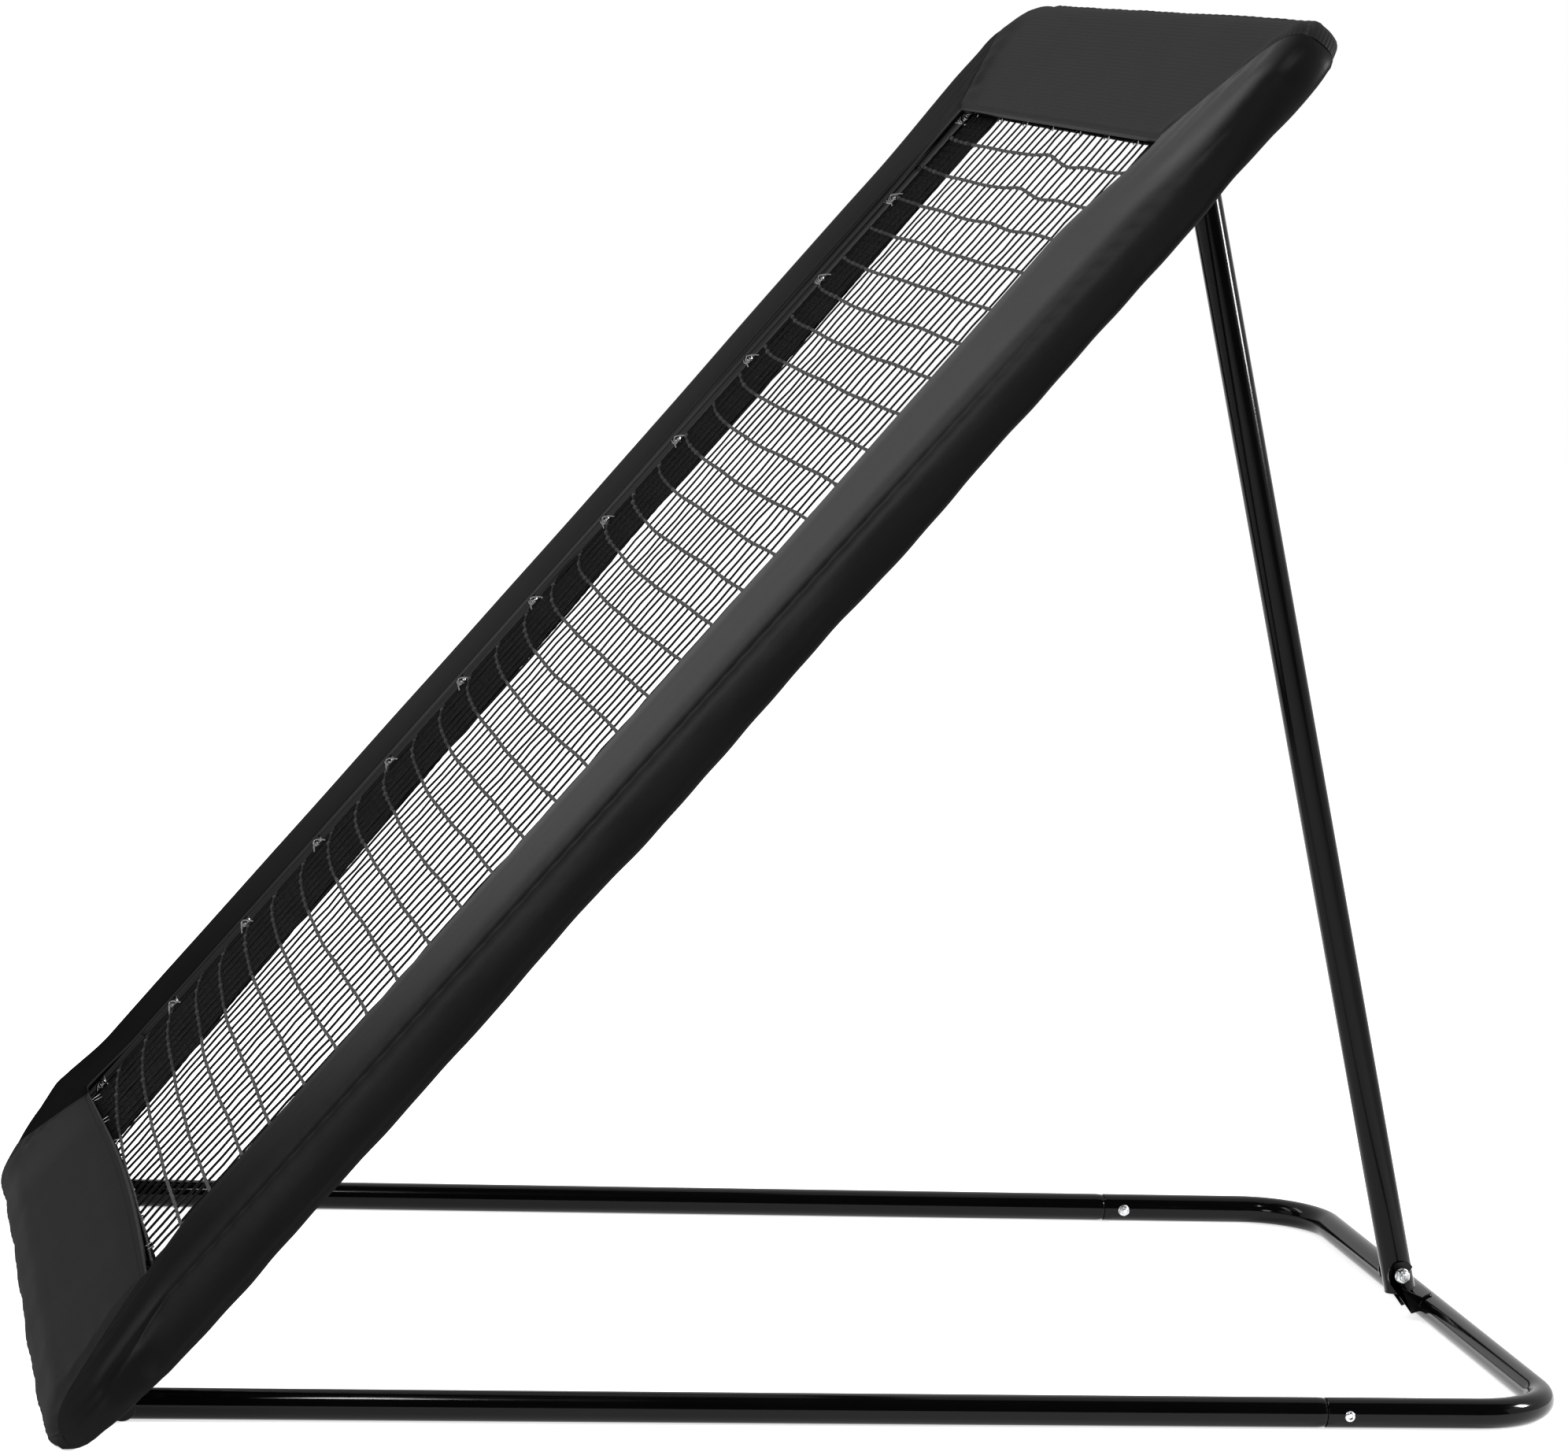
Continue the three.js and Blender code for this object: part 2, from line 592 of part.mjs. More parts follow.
const springHole = springWire + 1.1;
for (const [side, sx] of sides) {
  const length = panelLength - 2 * panelArm - 2 * seatGap;
  const tube = turned(swagedTube(length, true, true), V(0, panelArm + seatGap, 0), V(0, 1, 0));
  const holes = sidePlaces
    .filter((y) => y > panelArm + swageShoulder && y < panelLength - panelArm - swageShoulder)
    .map((y) => bar(V(-sx * (boreAt - 4), y, netRise), V(-sx * 2 * tubeRadius, y, netRise), springHole, 4));
  place(panel, `${side}_side_tube`, cut(toSolid(tube), ...holes), paint).position.x = sx * sideX;
}

// the end tubes carry their short row of springs as one piece
function endTube(barY, armEnd) {
  const toward = Math.sign(armEnd - barY);
  let solid = hollowU(sideX, armEnd, barY, panelBend);
  for (const [, sx] of sides) {
    for (const y of sidePlaces.filter((p) => Math.abs(p - barY) < panelArm)) {
      solid = cut(solid, bar(V(sx * (sideX - boreAt + 4), y, netRise), V(sx * (sideX - 2 * tubeRadius), y, netRise), springHole, 4));
    }
  }
  const barrelEnd = netInset - 28;
  const barrel = springRadius + springWire;
  for (const x of endPlaces) {
    // from inside the tube's wall over the closed barrel of the coil to the hook's tip
    const line = [[boreAt + 1, 0, springWire], [coilStart, 0, springWire], [coilStart + 4, 0, barrel],
      [barrelEnd - 4, 0, barrel], [barrelEnd, 0, springWire], [barrelEnd + 8, hookRise, springWire],
      [slotAt - 4, hookRise + 0.6, springWire], [slotAt, hookRise - 2.4, springWire], [slotAt, -hookRise + 1, springWire],
      [slotAt - 4.5, -hookRise - 1.6, springWire]];
    solid = join(solid, wire(line.map(([y, z]) => V(x, barY + toward * y, netRise + z)), line.map(([, , r]) => r), 5));
  }
  return solid;
}
place(panel, 'bottom_frame_tube', endTube(0, panelArm), paint);
place(panel, 'top_frame_tube', endTube(panelLength, panelLength - panelArm), paint);

// ---------------------------------------------------------------- net

// a block between two corners of the panel, as thick as the net
function slab(x0, y0, x1, y1, thick) {
  const block = new THREE.BoxGeometry(Math.abs(x1 - x0), Math.abs(y1 - y0), thick);
  block.translate((x0 + x1) / 2, (y0 + y1) / 2, 0);
  return block;
}

const slotDepth = 2 * springWire + 2.4;
const slotHalf = springWire + 1.2;
const slots = [];
for (const [, sx] of sides) {
  for (const y of sidePlaces) {
    const edge = sx * (netHalfWidth - hookEdge);
    slots.push(slab(edge, y - slotHalf, edge - sx * slotDepth, y + slotHalf, 4 * netCord));
  }
}
for (const [end, inward] of [[netLow, 1], [netHigh, -1]]) {
  for (const x of endPlaces) {
    const edge = end + inward * hookEdge;
    slots.push(slab(x - slotHalf, edge, x + slotHalf, edge + inward * slotDepth, 4 * netCord));
  }
}

// the gaps between the cords, inside the band
const windowX = netHalfWidth - bandWidth;
const windowLow = netLow + endBand;
const windowHigh = netHigh - endBand;
const columnPitch = (2 * windowX + netCord) / netColumns;
const rowPitch = (windowHigh - windowLow + netCord) / netRows;
const gaps = [];
for (let i = 0; i < netColumns; i += 1) {
  for (let j = 0; j < netRows; j += 1) {
    const x = -windowX + i * columnPitch;
    const y = windowLow + j * rowPitch;
    gaps.push(slab(x, y, x + columnPitch - netCord, y + rowPitch - netCord, 4 * netCord));
  }
}
place(panel, 'net', cut(toSolid(slab(-netHalfWidth, netLow, netHalfWidth, netHigh, netCord)), ...gaps, ...slots), cordage)
  .position.z = netRise;

// ---------------------------------------------------------------- pads

// section of a pad: w from its inner edge to its outer edge, q out of the panel. The foam lies flat
// over the springs, rolls over the tube and hangs outside it as a skirt
function padSection(skirt) {
  const tubeW = padWidth - padOverhang;
  const skirtIn = tubeW + tubeRadius + 3;
  const over = tubeRadius + 0.6;
  return [
    [2, padUnder], [0, padUnder + 5], [2, padTop - 4], [14, padTop - 1], [60, padTop + 1], [120, padTop + 2],
    [padWidth - 34, padTop], [padWidth - 16, padTop - 6], [padWidth - 4, padTop - 20], [padWidth, padTop - 38],
    [padWidth - 1, -skirt + 4], [padWidth - 6, -skirt], [skirtIn, -skirt], [skirtIn, 8],
    [tubeW + 12, over], [tubeW - 12, over], [tubeW - tubeRadius - 6, padUnder],
  ];
}

// a point of the pad ring: side runs round the panel, t along it, w from the inner to the outer edge
function padCornerPoint(sx, sy, angle, w) {
  const share = w / padWidth;
  const innerCentre = new THREE.Vector2(sx * (innerHalfWidth - padInnerCorner),
    sy > 0 ? innerHigh - padInnerCorner : innerLow + padInnerCorner);
  const outerCentre = new THREE.Vector2(sx * (padHalfWidth - padCorner), sy > 0 ? padHigh - padCorner : padLow + padCorner);
  const ray = new THREE.Vector2(sx * Math.cos(angle), sy * Math.sin(angle));
  const inner = innerCentre.addScaledVector(ray, padInnerCorner);
  const outer = outerCentre.addScaledVector(ray, padCorner);
  return inner.lerp(outer, share);
}

const groundSlope = along.y;
function clearOfGround(x, y, q) {
  const height = panelOrigin.y + y * groundSlope + q * out.y;
  const lift = Math.max(0, floorGap - height) / groundSlope;
  return V(x, y + lift, q);
}

const smooth = (t) => THREE.MathUtils.smoothstep(t, 0, 1);
function skirtAt(y) {
  return padSkirtFront + (padSkirt - padSkirtFront) * smooth((y - padLow) / 160);
}

const cornerSteps = 3;
const padSteps = 6;

function padRings(kind) {
  const isSide = kind === 'left' || kind === 'right';
  const sx = kind === 'left' ? -1 : 1;
  const sy = kind === 'bottom' ? -1 : 1;
  const stations = [];
  const shift = padMitreGap / 2;
  const half = Math.PI / 4;
  const cornerStation = (cx, cy, angle, moveX, moveY) => (w) => padCornerPoint(cx, cy, angle, w)
    .add(new THREE.Vector2(moveX, moveY));
  if (isSide) {
    for (let i = 0; i <= cornerSteps; i += 1) {
      stations.push(cornerStation(sx, -1, half * (1 - i / cornerSteps), 0, shift * (1 - i / cornerSteps)));
    }
    for (let i = 1; i < padSteps; i += 1) {
      const a = cornerStation(sx, -1, 0, 0, 0);
      const b = cornerStation(sx, 1, 0, 0, 0);
      stations.push((w) => a(w).lerp(b(w), i / padSteps));
    }
    for (let i = 0; i <= cornerSteps; i += 1) {
      stations.push(cornerStation(sx, 1, half * (i / cornerSteps), 0, -shift * (i / cornerSteps)));
    }
  } else {
    const quarter = Math.PI / 2;
    for (let i = 0; i <= cornerSteps; i += 1) {
      stations.push(cornerStation(-1, sy, half + (quarter - half) * (i / cornerSteps), shift * (1 - i / cornerSteps), 0));
    }
    for (let i = 1; i < padSteps; i += 1) {
      const a = cornerStation(-1, sy, quarter, 0, 0);
      const b = cornerStation(1, sy, quarter, 0, 0);
      stations.push((w) => a(w).lerp(b(w), i / padSteps));
    }
    for (let i = 0; i <= cornerSteps; i += 1) {
      stations.push(cornerStation(1, sy, quarter - (quarter - half) * (i / cornerSteps), -shift * (i / cornerSteps), 0));
    }
  }
  return stations.map((station) => {
    const middle = station(padWidth);
    return padSection(skirtAt(middle.y)).map(([w, q]) => {
      const p = station(w);
      return clearOfGround(p.x, p.y, q);
    });
  });
}

const sectionShape = padSection(padSkirt).map(([w, q]) => new THREE.Vector2(w, q));
const capTriangles = THREE.ShapeUtils.triangulateShape(sectionShape, []).map(([a, b, c]) => [a, c, b]);
for (const kind of ['left', 'right', 'top', 'bottom']) {
  place(panel, `${kind}_pad`, outward(skin(padRings(kind), capTriangles)), vinyl);
}

// the origin goes under the middle of the whole object
const extent = new THREE.Box3().setFromObject(rebounder, true);
rebounder.position.y = -(extent.min.y + extent.max.y) / 2;
rebounder.updateMatrixWorld(true);

export default rebounder;
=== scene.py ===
"""Pitch back rebounder: the photograph's look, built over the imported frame. Metres, +Z up."""

import math

import bmesh
import bpy
import numpy as np
from mathutils import Matrix, Vector


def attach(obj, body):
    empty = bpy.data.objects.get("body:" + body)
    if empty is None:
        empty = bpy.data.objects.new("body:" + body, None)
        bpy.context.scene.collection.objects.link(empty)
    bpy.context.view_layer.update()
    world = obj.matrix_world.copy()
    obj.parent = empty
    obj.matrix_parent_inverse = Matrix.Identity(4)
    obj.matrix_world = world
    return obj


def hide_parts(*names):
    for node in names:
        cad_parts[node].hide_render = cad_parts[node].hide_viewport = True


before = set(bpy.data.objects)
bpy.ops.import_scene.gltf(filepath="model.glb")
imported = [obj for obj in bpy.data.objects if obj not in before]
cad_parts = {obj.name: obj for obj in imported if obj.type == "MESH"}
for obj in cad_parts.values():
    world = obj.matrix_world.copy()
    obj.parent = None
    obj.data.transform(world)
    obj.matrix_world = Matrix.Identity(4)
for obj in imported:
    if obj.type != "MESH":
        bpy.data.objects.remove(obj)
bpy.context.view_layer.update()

# ---------------------------------------------------------------- camera
# The photograph's own view: from the right-hand side and a little above, through a long lens, with a
# small roll. Yaw 0 looks along +Y and 90 along -X.


def put(name, data):
    """A new object in the scene"""
    made = bpy.data.objects.new(name, data)
    bpy.context.scene.collection.objects.link(made)
    return made


eye = (7.3037, -1.4346, 1.7721)
yaw, pitch, roll = (math.radians(a) for a in (78.84, 7.57, 3.26))
forward = Vector((-math.sin(yaw) * math.cos(pitch), math.cos(yaw) * math.cos(pitch), -math.sin(pitch)))
level = Vector((math.cos(yaw), math.sin(yaw), 0))
right = math.cos(roll) * level + math.sin(roll) * level.cross(forward)
camera = put("camera", bpy.data.cameras.new("camera"))
camera.data.lens = 131.58
camera.data.sensor_width = 36
camera.data.clip_end = 200
camera.matrix_world = Matrix.Translation(eye) @ Matrix(
    (right, right.cross(forward), -forward)).transposed().to_4x4()
bpy.context.scene.camera = camera

# ---------------------------------------------------------------- white room
# A pale floor that keeps the shadow, a white world behind it, and soft lamps: one large above the
# front, a smaller one by the camera, a narrow one high over the right rail and a strip for the leg.
bpy.context.scene.view_settings.view_transform = "Standard"


def settle(node, values):
    """Constants for a node's inputs"""
    for socket, value in values.items():
        node.inputs[socket].default_value = value


def principled(name, values):
    """A new material with constants on its shader, and its nodes and links"""
    made = bpy.data.materials.new(name)
    made.use_nodes = True
    settle(made.node_tree.nodes["Principled BSDF"], values)
    return made, made.node_tree.nodes, made.node_tree.links


def seen_directly(nodes, links):
    """1 for the camera's rays and for rays that a glossy or clear surface sends on, otherwise 0"""
    path = nodes.new("ShaderNodeLightPath")
    total = path.outputs["Is Camera Ray"]
    for name in ("Is Glossy Ray", "Is Transmission Ray"):
        add = nodes.new("ShaderNodeMath")
        add.operation = "ADD"
        add.use_clamp = True
        links.new(total, add.inputs[0])
        links.new(path.outputs[name], add.inputs[1])
        total = add.outputs[0]
    return total


world = bpy.data.worlds.new("white_room")
bpy.context.scene.world = world
world.use_nodes = True
nodes, links = world.node_tree.nodes, world.node_tree.links
nodes.clear()
ambient, backdrop, mix, out = (nodes.new("ShaderNode" + kind) for kind in (
    "Background", "Background", "MixShader", "OutputWorld"))
settle(ambient, {"Color": (1, 1, 1, 1), "Strength": 0.62})
settle(backdrop, {"Color": (1, 1, 1, 1), "Strength": 1})
links.new(seen_directly(nodes, links), mix.inputs[0])
links.new(ambient.outputs[0], mix.inputs[1])
links.new(backdrop.outputs[0], mix.inputs[2])
links.new(mix.outputs[0], out.inputs["Surface"])

floor_mesh = bpy.data.meshes.new("floor")
floor_mesh.from_pydata([(-14, -14, 0), (14, -14, 0), (14, 14, 0), (-14, 14, 0)], [], [(0, 1, 2, 3)])
floor = put("floor", floor_mesh)
floor_paper, nodes, links = principled("floor_paper", {
    "Base Color": (0.8, 0.8, 0.8, 1), "Roughness": 0.95, "Specular IOR Level": 0.1})
lift, both = nodes.new("ShaderNodeEmission"), nodes.new("ShaderNodeAddShader")
scale = nodes.new("ShaderNodeMath")
scale.operation = "MULTIPLY"
scale.inputs[1].default_value = 0.68
links.new(seen_directly(nodes, links), scale.inputs[0])
links.new(scale.outputs[0], lift.inputs["Strength"])
links.new(nodes["Principled BSDF"].outputs[0], both.inputs[0])
links.new(lift.outputs[0], both.inputs[1])
links.new(both.outputs[0], nodes["Material Output"].inputs["Surface"])
floor_mesh.materials.append(floor_paper)

for name, place, aim, size, power in (
        ("key_lamp", (-0.6, -3.6, 4.2), (0, 0, 0.6), (3.2, 2.4), 190),
        ("camera_lamp", (5.2, -2.6, 1.3), (0, -0.1, 0.9), (1.6, 1.2), 60),
        ("rail_lamp", (2.3, -0.15, 3.6), (0.4, -0.6, 0.0), (0.22, 0.9), 40),
        ("strip_lamp", (1.0, 3.85, 2.15), (0, 0.55, 1.4), (0.6, 1.0), 260)):
    lamp = bpy.data.lights.new(name, "AREA")
    lamp.shape = "RECTANGLE"
    lamp.size, lamp.size_y = size
    lamp.energy = power
    lamp_object = put(name, lamp)
    lamp_object.location = place
    lamp_object.rotation_euler = (Vector(aim) - Vector(place)).to_track_quat("-Z", "Y").to_euler()

# Two black flats, behind the camera and over it, that only the glossy surfaces see
flats = bpy.data.meshes.new("black_flats")
flats.from_pydata([(8.6, -12, 0), (8.6, 10, 0), (8.6, 10, 7), (8.6, -12, 7), (0.5, 10, 7.5),
                   (0.5, -12, 7.5)], [], [(0, 1, 2, 3), (3, 2, 4, 5)])
flats_object = put("black_flats", flats)
flats_object.visible_camera = flats_object.visible_diffuse = flats_object.visible_shadow = False
flats.materials.append(principled("cloth_black", {
    "Base Color": (0.01, 0.01, 0.01, 1), "Roughness": 1, "Specular IOR Level": 0})[0])

# ---------------------------------------------------------------- rear U tube
# 38 mm tube bent twice at 110 mm and open at both arms, where the rails slide in. Gloss black
# stoved paint with a little orange peel.


def material(name, dark, light, rough, grain, depth, drift=6.0, specular=0.5, metallic=0.0):
    """A finish whose colour, from dark to light, and roughness drift with a slow noise, over a fine grain of
    so many grains a metre and so many metres deep"""
    made, nodes, links = principled(name, {"Metallic": metallic, "Specular IOR Level": specular})
    surface = nodes["Principled BSDF"]
    where = nodes.new("ShaderNodeTexCoord").outputs["Object"]
    slow, fine = nodes.new("ShaderNodeTexNoise"), nodes.new("ShaderNodeTexNoise")
    for noise, scale, detail in ((slow, drift, 4.0), (fine, grain, 2.0)):
        settle(noise, {"Scale": scale, "Detail": detail})
        links.new(where, noise.inputs["Vector"])
    tint = nodes.new("ShaderNodeMix")
    tint.name = "tint"
    tint.data_type = "RGBA"
    settle(tint, {6: (*dark, 1), 7: (*light, 1)})
    links.new(slow.outputs["Fac"], tint.inputs[0])
    links.new(tint.outputs[2], surface.inputs["Base Color"])
    spread = nodes.new("ShaderNodeMapRange")
    settle(spread, {"From Min": 0.3, "From Max": 0.7, "To Min": rough[0], "To Max": rough[1]})
    links.new(slow.outputs["Fac"], spread.inputs["Value"])
    links.new(spread.outputs[0], surface.inputs["Roughness"])
    bump = nodes.new("ShaderNodeBump")
    bump.name = "grain"
    settle(bump, {"Strength": 1, "Distance": depth})
    links.new(fine.outputs["Fac"], bump.inputs["Height"])
    links.new(bump.outputs[0], surface.inputs["Normal"])
    return made


def build(name, points, faces, finish, body, nodes, sharp=35):
    """A smooth-shaded piece that rides on a body, stands for these nodes and takes its finish from a slot"""
    mesh = bpy.data.meshes.new(name)
    mesh.from_pydata(np.asarray(points, float).tolist(), [], [list(map(int, face)) for face in faces])
    shell = bmesh.new()
    shell.from_mesh(mesh)
    bmesh.ops.recalc_face_normals(shell, faces=shell.faces)
    shell.to_mesh(mesh)
    shell.free()
    mesh.shade_smooth()
    mesh.set_sharp_from_angle(angle=math.radians(sharp))
    mesh.materials.append(finish)
    made = put(name, mesh)
    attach(made, body)
    if nodes:
        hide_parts(*nodes)
    return made


def grid(rows, columns, wrap_rows=False, wrap_columns=False, first=0):
    """Faces of a grid of points, row by row"""
    r = np.arange(rows if wrap_rows else rows - 1)
    c = np.arange(columns if wrap_columns else columns - 1)
    r, c = (a.ravel() for a in np.meshgrid(r, c, indexing="ij"))
    down, over = (r + 1) % rows, (c + 1) % columns
    return np.stack([r * columns + c, r * columns + over, down * columns + over, down * columns + c], 1) + first


def hoops(stations, up, sides):
    """Rings of points round (centre, direction, radius) stations"""
    turn = (np.arange(sides) + 0.5) * 2 * np.pi / sides
    up = np.asarray(up, float)
    made = []
    for centre, direction, radius in stations:
        side = np.cross(direction, up)
        side /= np.linalg.norm(side)
        made.append(np.asarray(centre) + radius * (np.cos(turn)[:, None] * side + np.sin(turn)[:, None] * up))
    return np.concatenate(made)


def swept(node, stations, up, sides, finish, body, closed=True):
    """The visible piece of a node, from rings at its stations; closed joins the last ring to the first"""
    faces = grid(len(stations), sides, closed, True)
    build(node + "_visual", hoops(stations, up, sides), faces, finish, body, [node])


def u_line(half, arm_end, bar, bend, steps=14):
    """Points and directions along a U: an arm, a bend, the bar along X, a bend and the other arm"""
    way = math.copysign(1, bar - arm_end)
    line = [((-half, arm_end), (0, way))]
    for k in range(steps + 1):
        a = math.pi / 2 * k / steps
        line.append(((-half + bend - bend * math.cos(a), bar - way * bend * (1 - math.sin(a))),
                     (math.sin(a), way * math.cos(a))))
    return line + [((-x, y), (dx, -dy)) for (x, y), (dx, dy) in reversed(line)]


def hollow(line, outer, inner, rim=0.0005):
    """Stations that run along a line on the outside and back on the inside, with eased rims"""
    (start, along), (end, onward) = line[0], line[-1]
    start, along, end, onward = (np.asarray(v, float) for v in (start, along, end, onward))
    outside = [(start, along, outer - rim), (start + along * rim, along, outer)]
    outside += [(p, d, outer) for p, d in line[1:-1]]
    outside += [(end - onward * rim, onward, outer), (end, onward, outer - rim)]
    inside = [(end, onward, inner + rim), (end - onward * rim, onward, inner)]
    inside += [(p, d, inner) for p, d in reversed(line[1:-1])]
    inside += [(start + along * rim, along, inner), (start, along, inner + rim)]
    return outside + inside


tube_radius, tube_bore, rail_x, joint_y, rear_y = 0.019, 0.0175, 0.58, 0.629656, 0.941656
rail_bend, tube_sides = 0.11, 40
paint_dark, paint_light, peel, peel_depth = (0.0008, 0.0008, 0.0009), (0.0018, 0.0018, 0.0019), 420, 0.00002
paint = material("black_paint", paint_dark, paint_light, (0.09, 0.13), peel, peel_depth, specular=0.15)
line = [(np.array([x, y, tube_radius]), np.array([dx, dy, 0.0])) for (x, y), (dx, dy) in
        u_line(rail_x, joint_y, rear_y, rail_bend)]
swept("rear_u_tube", hollow(line, tube_radius, tube_bore), (0, 0, 1), tube_sides, paint, "base")

# ---------------------------------------------------------------- rails
# Two straight tubes of the same size. Their rear ends are drawn down over a rounded shoulder and
# slide into the U tube's arms.
hinge_y, seam_gap = -0.871344, 0.0003
rail_start, rail_end = hinge_y - 0.012, joint_y - seam_gap
swage, shoulder, swage_run, wall, rim = 0.0172, 0.013, 0.07, 0.0015, 0.0005


def drawn_end(radius, small, run, steps=6):
    """(distance before the joint, radius) down a convex shoulder"""
    return [(run * (1 - t), small + (radius - small) * math.sqrt(max(0.0, 1 - t * t)))
            for t in np.linspace(0, 1, steps + 1)]


for side, sx in (("left", -1), ("right", 1)):
    outline = [(rail_start, tube_radius - rim), (rail_start + rim, tube_radius)]
    outline += [(rail_end - back, r) for back, r in drawn_end(tube_radius, swage, shoulder)]
    outline += [(rail_end + swage_run, swage), (rail_end + swage_run, swage - wall), (rail_end, swage - wall),
                (rail_end - 0.014, tube_bore), (rail_start + rim, tube_bore), (rail_start, tube_bore + 0.0003)]
    stations = [((sx * rail_x, y, tube_radius), (0, 1, 0), r) for y, r in outline]
    swept(f"{side}_rail", stations, (0, 0, 1), tube_sides, paint, "base")

# ---------------------------------------------------------------- rail caps
# Moulded black plastic plugs with a domed face and a thin rim. A short collar pushes into the open
# front end of each rail and holds by its fit.
plastic = material("black_plastic", (0.004, 0.004, 0.004), (0.007, 0.007, 0.007), (0.4, 0.55), 1500, 0.00008,
                   specular=0.2)
plug_sides = 32
for side, sx in (("left", -1), ("right", 1)):
    outline = [(-0.0028, 0.0001), (-0.0027, 0.008), (-0.0023, 0.0145), (-0.002, 0.0176), (-0.0015, 0.0188),
               (-0.0009, 0.0191), (-0.0003, 0.019), (-0.0003, 0.0172), (0.008, 0.017), (0.008, 0.0001)]
    stations = [((sx * rail_x, rail_start + y, tube_radius), (0, 1, 0), r) for y, r in outline]
    swept(f"{side}_rail_cap", stations, (0, 0, 1), plug_sides, plastic, "base", closed=False)

# ---------------------------------------------------------------- joint bolts
# Zinc-plated button-head bolts with a hex socket on the outside of each rail, and a washer and a
# self-locking nut on the inside.
zinc = material("zinc", (0.5, 0.51, 0.52), (0.66, 0.67, 0.68), (0.2, 0.34), 2600, 0.00002, drift=160,
                metallic=1.0)
bolt_sizes = ("shank", "washer", "thick", "across", "nut", "head", "rise")
small_bolt = dict(zip(bolt_sizes, (0.004, 0.008, 0.0016, 0.013, 0.0068, 0.007, 0.0044)))
large_bolt = dict(zip(bolt_sizes, (0.005, 0.010, 0.002, 0.017, 0.0084, 0.0087, 0.0055)))
bolt_turn = np.arange(48) * 2 * np.pi / 48
thread_pitch, thread_depth = 0.0005, 0.0003


def hexagon(across):
    """Radii round a bolt's axis of a hexagon that wide across its flats"""
    return across / 2 / np.cos((bolt_turn + np.pi / 6) % (np.pi / 3) - np.pi / 6)


def fastener(name, size, head_at, nut_at, body, head_side):
    """A bolt along X from head_at (x, y, z) to its nut at nut_at (x, y, z)"""

    def turned(part, profile, at, closed):
        """A piece turned round X from (x, radius or radii) pairs"""
        made = []
        for x, radius in profile:
            r = np.broadcast_to(radius, len(bolt_turn))
            made.append(np.stack([np.full(len(r), x), r * np.cos(bolt_turn), r * np.sin(bolt_turn)], 1))
        points = np.concatenate(made)
        points[:, :2] *= -head_side
        build(f"{name}_{part}_visual", points + np.array(at), grid(len(profile), len(r), closed, True), zinc,
              body, [f"{name}_{part}"], 30)

    shank, washer, thick, across, nut, head, rise = (size[part] for part in bolt_sizes)
    socket = hexagon(head * 0.84)
    grip = abs(nut_at[0] - head_at[0])
    end = grip + thick + nut + 0.0015
    profile = [(-rise * 0.45, 0.00001), (-rise * 0.45, socket * 0.98), (-rise * 0.97, socket),
               (-rise, socket + 0.0004), (-rise, head * 0.6), (-rise * 0.93, head * 0.7),
               (-rise * 0.76, head * 0.84), (-rise * 0.5, head * 0.95), (-rise * 0.2, head), (-0.0002, head),
               (0, head - 0.0003), (0, shank), (grip * 0.5, shank)]
    thread = np.arange(grip, end - 0.0006, thread_pitch)
    profile += [(x, shank - (thread_depth if k % 2 else 0)) for k, x in enumerate(thread)]
    profile += [(end - 0.0004, shank - 0.0005), (end, shank - 0.001), (end, 0.00001)]
    turned("bolt", profile, head_at, False)
    hexes, flat = hexagon(across), across / 2
    chamfer = np.minimum(hexes, flat * 1.02)
    profile = [(0, shank + 0.0003), (0, washer - 0.0003), (0.0003, washer), (thick - 0.0003, washer),
               (thick, washer - 0.0003), (thick, flat * 0.99), (thick + 0.0001, chamfer), (thick + 0.0007, hexes)]
    profile += [(thick + nut * share, radius) for share, radius in (
        (0.66, hexes), (0.75, chamfer), (0.77, flat * 0.93), (0.95, flat * 0.9), (1.03, flat * 0.78),
        (1.03, flat * 0.68), (0.96, shank + 0.0004))]
    turned("nut", profile + [(thick, shank + 0.0003)], nut_at, True)


for side, sx in (("left", -1), ("right", 1)):
    place = (joint_y + 0.027, tube_radius)
    fastener(f"{side}_joint", small_bolt, (sx * (rail_x + tube_radius + seam_gap), *place),
             (sx * (rail_x - tube_radius - seam_gap), *place), "base", sx)

# ---------------------------------------------------------------- rear leg bracket
# Two 3 mm cheeks on a saddle welded round the crossbar. Their pin holes open forwards into slots,
# so that the leg's foot can leave as the frame folds.


def plate_piece(outline, low, high, ease=0.0006):
    """Points and faces of a plate with eased edges: outline in (y, z), between two x"""
    outline = np.asarray(outline, float)
    before, after = np.roll(outline, 1, 0), np.roll(outline, -1, 0)
    run = after - before
    inward = np.stack([-run[:, 1], run[:, 0]], 1) / np.linalg.norm(run, axis=1)[:, None]
    area = np.sum(outline[:, 0] * after[:, 1] - outline[:, 1] * after[:, 0])
    inner = outline + math.copysign(1, area) * inward * ease
    rows = [(low, inner), (low + ease, outline), (high - ease, outline), (high, inner)]
    points = np.concatenate([np.column_stack([np.full(len(o), x), o]) for x, o in rows])
    count = len(outline)
    faces = grid(4, count, False, True).tolist()
    return points, faces + [list(range(count))[::-1], list(range(3 * count, 4 * count))]


def merge(parts):
    """One list of points and one of faces from several"""
    points, faces, first = [], [], 0
    for p, f in parts:
        points.append(np.asarray(p))
        faces += [[i + first for i in face] for face in f]
        first += len(p)
    return np.concatenate(points), faces


def end_caps(count, sides, first=0):
    """The two faces that close a run of so many rings"""
    last = first + sides * (count - 1)
    return [list(range(first, first + sides))[::-1], list(range(last, last + sides))]


def capped(rings):
    """Points and faces of a rod from its rings"""
    count, sides = len(rings), len(rings[0])
    return np.concatenate(rings), grid(count, sides, False, True).tolist() + end_caps(count, sides)


